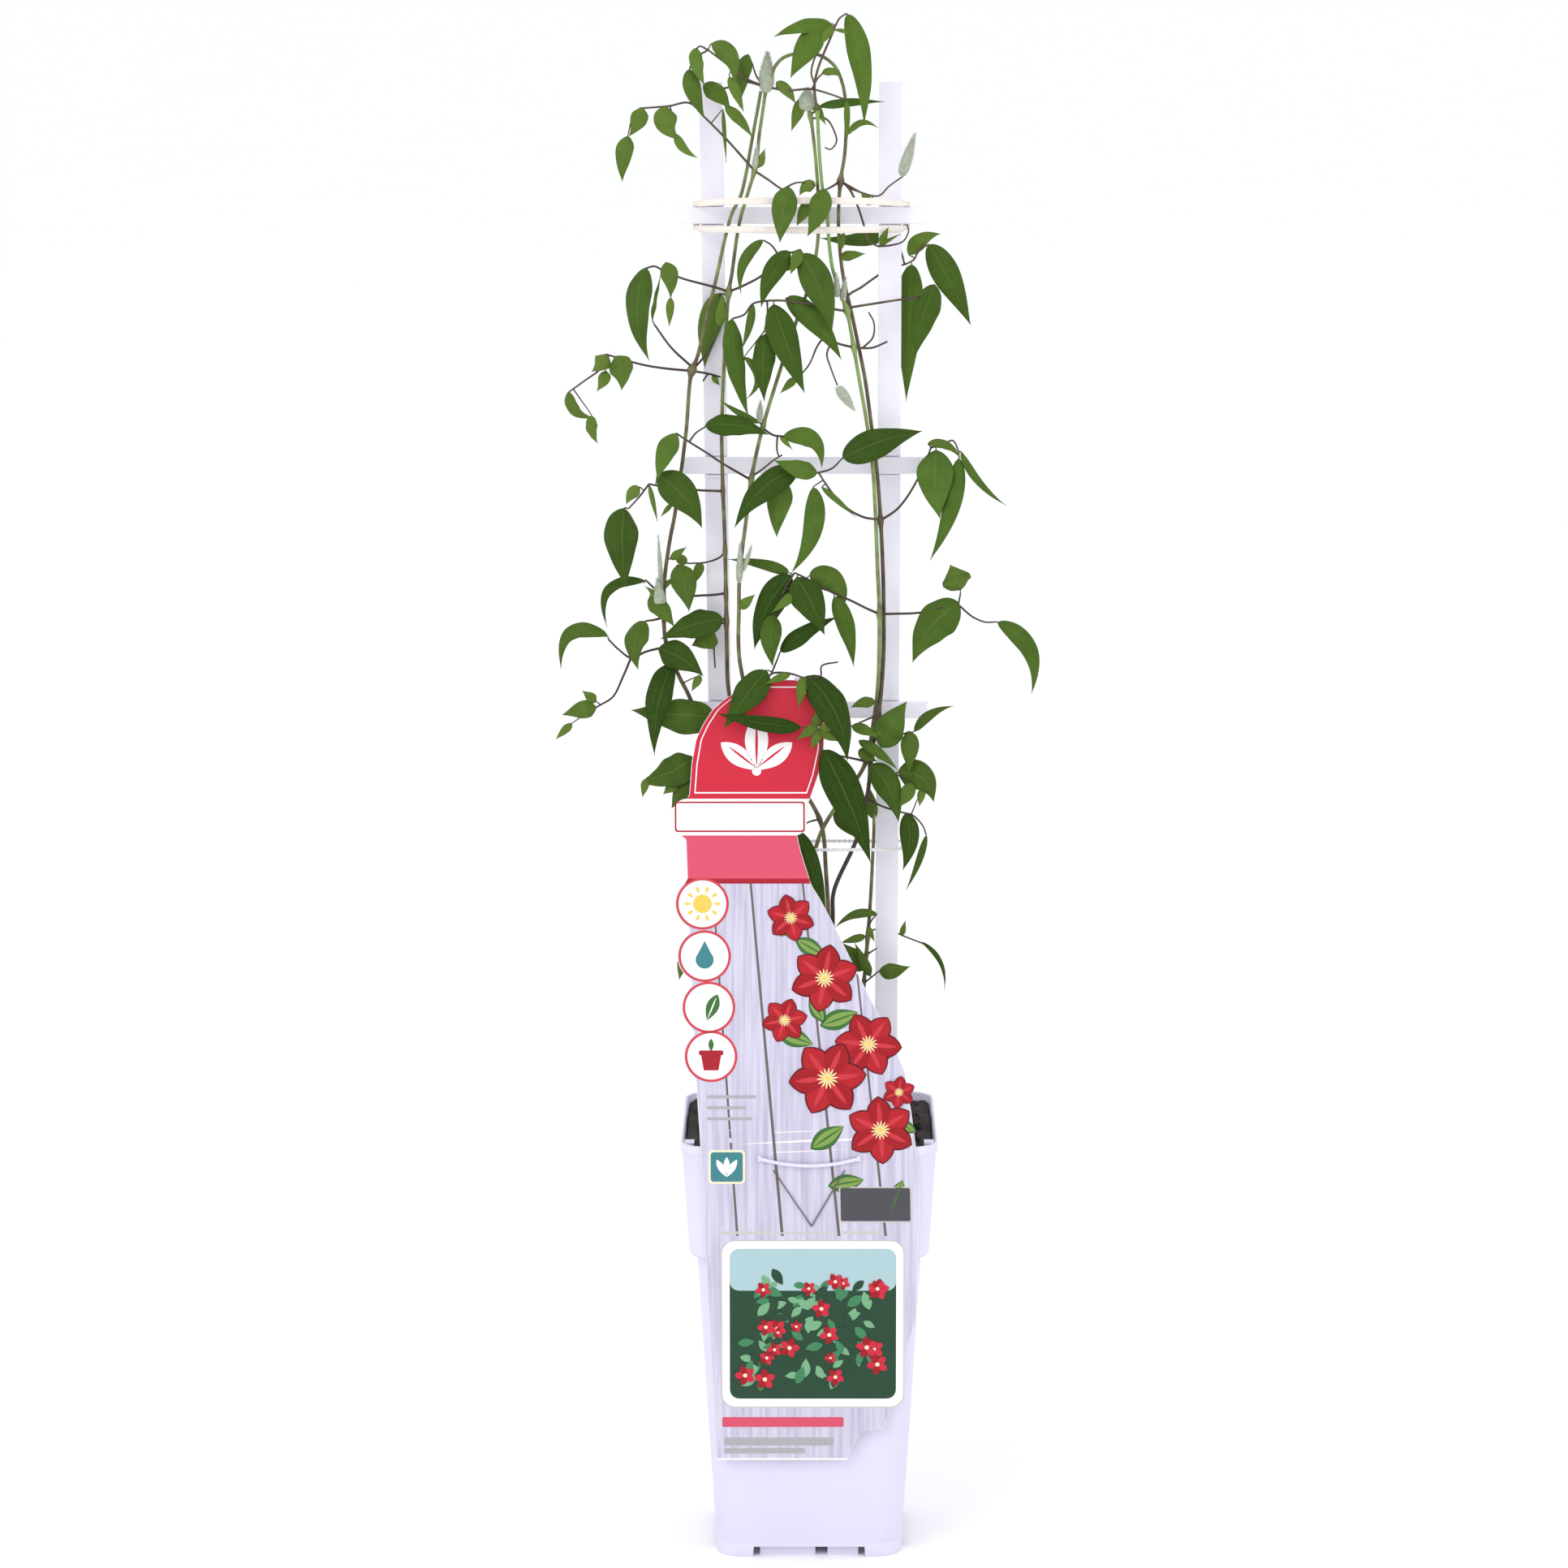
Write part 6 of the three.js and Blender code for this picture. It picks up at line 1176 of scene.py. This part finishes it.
            [0.5, [28.6, 299, -2], [28.8, 301, 6], [31, 303, 12.5], [34, 303.5, 14.5], [40, 303, 15],
             [45, 300.5, 14], [55, 296.5, 11]],
            [0.5, [28, 290, -3], [33, 294, -6]],
        ],
        "blades": [
            [33, 311, -8, 12.5, 304, -14, 4.5, 2, -3], [28.4, 305, -5, 32, 297, -9, 3, 1],
            [28, 284, -4, 14, 298, -9, 10, 2, 1], [30, 280, -5.5, 22, 297, -12, 5, 2],
            [27.5, 300, -4, 15, 296.5, -8, 4, 1], [34, 282.5, -7, 49.5, 285, -12, 8, 2, -1],
            [55, 297, 11, 66, 273, 6, 2.5, 2, 4], [45, 300, 14, 47, 308, 12, 3, 1],
            [31.4, 358, -1, 28, 376, -1, 6, 1],
        ],
        "buds": [],
    },
]
STEM_RADIUS = 1.15
STEM_TOP_RADIUS = 0.8
STEM_BOTTOM = 150.0
STEM_STEP = 1.6
TWIG_STEP = 1.1
START_REACH = 4.0
STALKLET_RADIUS = 0.36
KNOT_SWELL = 0.34
KNOT_REACH = 2.4
LEAF_STATIONS = 30
LEAF_ACROSS = 11
LEAF_THICKNESS = 0.34
LEAF_PEAK = 0.3118
LEAF_DROOP = 0.34
LEAF_WAVE = 0.15
LEAF_SWELL = 0.10
MIDRIB_DEPTH = 0.10
VEIN_DEPTH = 0.03
VEIN_SIDE = 0.46
BUD_PEAK = 2.456
HAIR_THICKNESS = 0.05


def seen(rows):
    """Seen side, height and depth to real x, y, z: side and height from the eye grow with depth."""
    rows = np.atleast_2d(np.asarray(rows, float))
    share = (rows[:, 2:3] + EYE_DISTANCE) / EYE_DISTANCE
    return np.hstack([rows[:, :1] * share, rows[:, 2:3], EYE_HEIGHT + (rows[:, 1:2] - EYE_HEIGHT) * share])


def nearest_place(lines, place):
    """The nearest point to a place on all the lines grown so far."""
    everything = np.concatenate(lines)
    return everything[np.argmin(np.linalg.norm(everything - place, axis=1))]


def stalk(line, radius, knots=(), sides=10):
    """A round stalk along a line, with six soft ribs, swollen by a third at its knots."""
    count = len(line)
    walked = walked_along(line)
    radius = np.interp(walked, [0.0, walked[-1]], radius)
    for knot in knots:
        gap = np.linalg.norm(line - knot, axis=1)
        radius = radius * (1.0 + KNOT_SWELL * np.exp(-((gap / KNOT_REACH) ** 2)))
    ribs = 1.0 + 0.05 * np.cos(np.arange(sides) * math.pi)
    section = round_section(radius, sides, count) * ribs[None, :, None]
    return swept(line, section, np.array([[0.35, -1.0, 0.12]]))


def leaves(rows, seed):
    """All leaflets of one stem at once. A midrib runs from foot to tip with a bow of 4 t (1 - t), and the
    half width is t^0.6 (1 - t)^1.25. The edges droop and wave, and the two faces lie a third of a
    millimetre apart and meet in a thin edge. Gives points, faces and seven facts for each point: its
    place across and along, whether it is on the back, how deep a green, how young, and its place in mm."""
    full = np.zeros((len(rows), 11))
    full[:, 7] = 3.0
    for i, row in enumerate(rows):
        full[i, :len(row)] = row
    foot, tip = seen(full[:, 0:3]), seen(full[:, 3:6])
    width, bow, hook = full[:, 6:7], full[:, 7:8], full[:, 8:9]
    roll, twist = np.radians(full[:, 9:10]), np.radians(full[:, 10:11])
    chance = np.random.default_rng(seed).uniform(0, 1, (len(rows), 4))[:, :, None, None]

    # the midrib and the two directions across and out of the leaf, for each station
    along = tip - foot
    length = np.linalg.norm(along, axis=1, keepdims=True)
    axis = along / length
    toward = np.array([[0.0, -1.0, 0.3]])
    flat = unit(toward - axis * np.sum(axis * toward, axis=1, keepdims=True))
    face = flat * np.cos(roll) + np.cross(axis, flat) * np.sin(roll)
    bend = face * bow + np.cross(face, axis) * hook
    even = np.linspace(0, 1, LEAF_STATIONS + 1)
    t = (0.35 * (1 - np.cos(even * math.pi)) / 2 + 0.65 * even)[None, :, None]
    middle = foot[:, None] + along[:, None] * t + bend[:, None] * 4 * t * (1 - t)
    tangent = unit(along[:, None] + bend[:, None] * 4 * (1 - 2 * t))
    turn = twist[:, None] * t
    turned = face[:, None] * np.cos(turn) + np.cross(axis, face)[:, None] * np.sin(turn)
    across = unit(np.cross(turned, tangent))
    normal = np.cross(tangent, across)
    half = width[:, None] / 2 * t**0.6 * (1 - t) ** 1.25 / LEAF_PEAK
    half = np.maximum(half, 0.12 * (t > 0) * (t < 1) + 0.02)

    # the relief over the leaf: u runs from -1 to 1 across it
    u = np.sin(np.linspace(-math.pi / 2, math.pi / 2, LEAF_ACROSS))
    waves = 1.5 + 2.0 * chance[:, 1]
    phase = chance[:, 0] * 2 * math.pi + np.where(u > 0, 0.0, 1.9)
    wave = np.sin(2 * math.pi * waves * t + phase) * u**2 * LEAF_WAVE * half
    swell = LEAF_SWELL * half * np.sin(2 * math.pi * (2.2 * t + chance[:, 3])) * (1 - u**2)
    midrib = -MIDRIB_DEPTH * np.exp(-((u / 0.14) ** 2)) * np.minimum(half, 2.0)
    laterals = -VEIN_DEPTH * half * np.exp(-(((np.abs(u) - VEIN_SIDE) / 0.12) ** 2))
    fold = -LEAF_DROOP * half * np.abs(u) ** 1.4 + wave + midrib + laterals + swell
    skin_gap = LEAF_THICKNESS / 2 * np.sqrt(np.clip(1 - u**2, 0, 1)) * np.ones_like(half)
    place = middle[:, :, None] + across[:, :, None] * (half * u)[..., None]
    upper = place + normal[:, :, None] * (fold + skin_gap)[..., None]
    lower = place + normal[:, :, None] * (fold - skin_gap)[..., None]
    rings = np.concatenate([upper, lower[:, :, -2:0:-1]], axis=2)
    count, rows_each, around = rings.shape[:3]
    one = skin((rows_each, around))
    step = rows_each * around
    quads = (one[None] + step * np.arange(count)[:, None, None]).reshape(-1, 4)
    ends = np.concatenate([np.arange(around)[::-1][None], (np.arange(around) + step - around)[None]])
    caps = (ends[None] + step * np.arange(count)[:, None, None]).reshape(-1, around)
    grid_u = np.broadcast_to(np.concatenate([u, u[-2:0:-1]]), (count, rows_each, around))
    back = np.concatenate([np.zeros(LEAF_ACROSS), np.ones(LEAF_ACROSS - 2)])
    # leaves are drawn a deeper, darker green the lower their foot stands, and besides that at random
    low_down = 0.55 - 0.75 * (foot[:, 2:3, None] - 300.0) / 430.0
    facts = (
        grid_u, t, back, np.clip(0.75 * chance[:, 2] + low_down, 0.0, 1.0),
        np.clip(1.0 - length[:, :, None] / 30.0, 0, 1), grid_u * half, t * length[:, :, None],
    )
    facts = np.stack([np.broadcast_to(fact, grid_u.shape) for fact in facts], -1)
    return rings.reshape(-1, 3), [quads, caps], facts.reshape(-1, 7)


def hairs(roots, directions, lengths):
    """Fine three-sided hairs that taper to a point, one from each root."""
    helper = np.where(np.abs(directions[:, 2:3]) > 0.8, [[1.0, 0.0, 0.0]], [[0.0, 0.0, 1.0]])
    a = unit(np.cross(directions, helper))
    b = np.cross(directions, a)
    angle = np.arange(3)[:, None] * 2 * math.pi / 3
    base = roots[:, None] + HAIR_THICKNESS * (a[:, None] * np.cos(angle) + b[:, None] * np.sin(angle))
    tips = (roots + directions * lengths[:, None])[:, None]
    faces = np.array([[0, 1, 3], [1, 2, 3], [2, 0, 3], [2, 1, 0]])
    faces = (faces[None] + 4 * np.arange(len(roots))[:, None, None]).reshape(-1, 3)
    return np.concatenate([base, tips], 1).reshape(-1, 3), [faces]


def bud_swell(t):
    """How wide a bud is at t from foot to tip, 1 at its widest: t^0.45 (1 - t)."""
    return BUD_PEAK * t**0.45 * (1 - t)


def bud(foot, tip, radius, rows=22, sides=20):
    """A plump closed bud, pointed at its tip, with four shallow seams."""
    t = np.linspace(0.0, 1.0, rows)
    line = foot + (tip - foot) * t[:, None]
    angle = np.arange(sides) * 2 * math.pi / sides
    seams = 1.0 - 0.06 * np.exp(-((np.sin(2 * angle) / 0.3) ** 2))
    section = round_section(radius * np.maximum(bud_swell(t), 0.03), sides, rows) * seams[None, :, None]
    return swept(line, section, np.array([[0.3, -1.0, 0.1]]))


def grown(plant):
    """The main line of a stem from inside the peat up, its stalks with their radii, and the places where
    they leave it. A stalk that starts near an older line is joined to it."""
    heights = (STEM_BOTTOM, SOIL_HEIGHT - 20.0, SOIL_HEIGHT + 4.5)
    start = [[*plant["foot"], height] for height in heights]
    main = smooth_line(np.concatenate([start, seen(plant["route"])]), STEM_STEP)
    twigs, knots = [], []
    for radius, *places in plant["twigs"]:
        route = seen(places)
        anchor = nearest_place([main] + [twig for twig, _ in twigs], route[0])
        knots.append(anchor)
        if np.linalg.norm(anchor - route[0]) > START_REACH:
            route = np.concatenate([anchor[None], route])
        else:
            route[0] = anchor
        twigs.append((smooth_line(route, TWIG_STEP), radius))
    return main, twigs, knots


def stalklets(blades, lines):
    """A short stalk to the foot of every leaf that stands off the lines grown so far."""
    parts = []
    for row in blades:
        foot, tip = seen([row[0:3], row[3:6]])
        anchor = nearest_place(lines, foot)
        if np.linalg.norm(anchor - foot) < 0.3:
            continue
        route = [anchor, (anchor + foot) / 2 + [0, 0, 0.15], foot, foot + unit(tip - foot) * 1.4]
        parts.append(stalk(smooth_line(route, 0.7), (STALKLET_RADIUS, STALKLET_RADIUS * 0.7), (), 6))
    return parts


def silk(buds, shoots, chance):
    """Silky hairs: on each bud, leaning to its tip, and all round the youngest growth."""
    roots, ways, sizes = [], [], []
    for foot, tip, radius, count in buds:
        t, angle = chance.uniform(0.05, 0.97, count), chance.uniform(0, 2 * math.pi, count)
        out = np.column_stack([np.cos(angle), np.sin(angle), np.zeros(count)])
        roots.append(foot + (tip - foot) * t[:, None] + out * (radius * bud_swell(t) * 0.93)[:, None])
        ways.append(unit(out * 0.75 + np.array([0, 0, 1.0]) + chance.normal(0, 0.22, (count, 3))))
        sizes.append(chance.uniform(0.9, 2.0, count))
    for line, radius in shoots:
        count = len(line) * 2
        at = line[chance.integers(0, len(line), count)]
        way = unit(chance.normal(0, 1, (count, 3)) + np.array([0, 0, 0.4]))
        roots.append(at + way * radius * 0.5)
        ways.append(way)
        sizes.append(chance.uniform(0.7, 1.3, count))
    return hairs(*(np.concatenate(rows) for rows in (roots, ways, sizes)))


# Leaf: thin living tissue with a waxy skin. Fresh green above and paler below, lighter veins that arch
# from foot to tip, a net of 2 mm cells between them, and a thin edge that light comes through.
LEAF_IOR = 1.45
LEAF_TONES = (0.5, 1.18)


def reckon(tree, operation, *values):
    """One step of arithmetic on outputs or numbers."""
    return add(tree, "ShaderNodeMath", dict(enumerate(values)), operation=operation).outputs["Value"]


def leaf_finish(name, colour):
    """The leaf material of one stem, round that stem's own green."""
    material, tree, output = new_material(name)
    shape = add(tree, "ShaderNodeUVMap", uv_map="shape").outputs["UV"]
    spread = add(tree, "ShaderNodeUVMap", uv_map="spread").outputs["UV"]
    kind = add(tree, "ShaderNodeAttribute", attribute_name="kind").outputs["Color"]
    traits = add(tree, "ShaderNodeSeparateColor", {"Color": kind}).outputs
    across = add(tree, "ShaderNodeSeparateXYZ", {"Vector": shape}).outputs["X"]
    side = reckon(tree, "ABSOLUTE", reckon(tree, "SUBTRACT", across, 0.5))
    middle = mapped(tree, side, 0.004, 0.022, 0.8, 0.0)
    lateral = reckon(tree, "ABSOLUTE", reckon(tree, "SUBTRACT", side, VEIN_SIDE / 2))
    lateral = mapped(tree, lateral, 0.002, 0.014, 0.36, 0.0)
    cells = {"Vector": spread, "Scale": 50.0, "Randomness": 0.9}
    cells = add(tree, "ShaderNodeTexVoronoi", cells, feature="DISTANCE_TO_EDGE").outputs["Distance"]
    net = mapped(tree, cells, 0.0, 0.08, 0.16, 0.0)
    veins = reckon(tree, "MAXIMUM", reckon(tree, "MAXIMUM", middle, lateral), net)
    patches = {"Vector": spread, "Scale": 9.0, "Detail": 3.0}
    patch = add(tree, "ShaderNodeTexNoise", patches).outputs["Fac"]
    base = np.array(linear(colour)[:3])
    tint = between(tree, patch, *(tuple(np.minimum(base * share, 1.0)) + (1.0,) for share in LEAF_TONES))
    # deep green, then the yellower green of young leaves, then the grey green of the underside
    for trait, towards in (("Green", "#263f0b"), ("Blue", "#667d33"), ("Red", "#6c7b50")):
        tint = between(tree, traits[trait], tint, towards)
    tint = between(tree, reckon(tree, "MULTIPLY", veins, 0.4), tint, "#7f9148")
    sunk_veins = relief(tree, reckon(tree, "MULTIPLY", veins, -1.0), 0.55, 0.0003)
    surface(tree, output, tint, mapped(tree, patch, 0.0, 1.0, 0.42, 0.6), IOR=LEAF_IOR, Normal=sunk_veins,
            Specular_IOR_Level=0.1, Subsurface_Weight=0.1, Subsurface_Radius=(0.0006, 0.0012, 0.0002))
    return material


# Stem bark: green and waxy on young growth, brown purple where it has ripened, with fine fibres.
stem_material, tree, output = new_material("ribbed_young_bark")
kind = add(tree, "ShaderNodeAttribute", attribute_name="kind").outputs["Color"]
ripe = add(tree, "ShaderNodeSeparateColor", {"Color": kind}).outputs["Blue"]
share = reckon(tree, "ADD", reckon(tree, "SUBTRACT", solid_noise(tree, 130.0, 4.0), 0.5), ripe)
colour = ramp(tree, share, (0.15, "#3b2925"), (0.5, "#63573a"), (0.85, "#7f9a52"))
fibre = relief(tree, solid_noise(tree, 1300.0, 2.0), 0.35, 0.0002)
surface(tree, output, colour, 0.5, IOR=LEAF_IOR, Normal=fibre)

# Bud wool: short silky grey-green hairs.
wool_material, tree, output = new_material("silky_bud_hair")
colour = between(tree, solid_noise(tree, 700.0, 1.0), "#7d8a70", "#b9beab")
surface(tree, output, colour, 0.75, Sheen_Weight=0.4)


def face_count(face_lists):
    """How many faces a list of face lists holds."""
    return sum(len(rows) for rows in face_lists)


for order, plant in enumerate(PLANT):
    main, twigs, knots = grown(plant)
    leaf_points, leaf_faces, facts = leaves(plant["blades"], 20 + order)
    stem = stalk(main, (STEM_RADIUS, STEM_TOP_RADIUS), knots, 12)
    wood = [stem] + [stalk(twig, (radius, radius * 0.72), (), 8) for twig, radius in twigs]
    wood += stalklets(plant["blades"], [main] + [twig for twig, _ in twigs])
    wood_points, wood_faces = gathered(wood)
    buds = [(*seen([row[0:3], row[3:6]]), row[6], row[7]) for row in plant["buds"]]
    shoots = [(main[-70:], STEM_TOP_RADIUS)] + [(twig[-40:], radius * 0.8) for twig, radius in twigs[:8]]
    points, faces = gathered([
        (leaf_points, leaf_faces), (wood_points, wood_faces), *(bud(*row[:3]) for row in buds),
        silk(buds, shoots, np.random.default_rng(40 + order)),
    ])
    leaf_material = leaf_finish(plant["name"] + "_leaf_skin", plant["leaf"])
    piece = put_mesh(plant["name"] + "_fine", points, faces, [leaf_material, stem_material, wool_material])
    leaf_count, wood_count = face_count(leaf_faces), face_count(wood_faces)
    numbers = np.full(len(piece.data.polygons), 2, np.int32)
    numbers[:leaf_count] = 0
    numbers[leaf_count:leaf_count + wood_count] = 1
    piece.data.polygons.foreach_set("material_index", numbers)

    # the attribute "kind": underside, depth of green and youth on leaves, greenness in its blue on wood
    foot_green, top_green, stalk_green = plant["bark"]
    height_share = np.clip((wood_points[:, 2] - SOIL_HEIGHT) / (main[:, 2].max() - SOIL_HEIGHT), 0, 1)
    on_stem = np.arange(len(wood_points)) < len(stem[0])
    stem_green = foot_green + (top_green - foot_green) * height_share
    kind = np.zeros((len(points), 4))
    kind[:, 3] = 1.0
    kind[:len(facts), :3] = facts[:, [2, 3, 4]]
    wood_end = len(facts) + len(wood_points)
    kind[len(facts):wood_end, 2] = np.where(on_stem, stem_green, stalk_green + 0.25 * height_share**3)
    tint = piece.data.color_attributes.new("kind", "FLOAT_COLOR", "POINT")
    tint.data.foreach_set("color", kind.astype(np.float32).ravel())

    # two maps of the leaves: "shape" from edge to edge, and "spread" in units of 100 mm, shifted by leaf
    corner_points = np.empty(len(piece.data.loops), np.int32)
    piece.data.loops.foreach_get("vertex_index", corner_points)
    shape_uv, spread_uv = np.zeros((2, len(points), 2))
    shape_uv[:len(facts)] = np.column_stack([0.5 + facts[:, 0] / 2, facts[:, 1]])
    spread_uv[:len(facts)] = facts[:, [5, 6]] * 0.01 + facts[:, 3:4] * 7.0
    for name, values in (("shape", shape_uv), ("spread", spread_uv)):
        layer = piece.data.uv_layers.new(name=name)
        layer.data.foreach_set("uv", values[corner_points].astype(np.float32).ravel())
    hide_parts(plant["name"])
    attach(piece, "root")
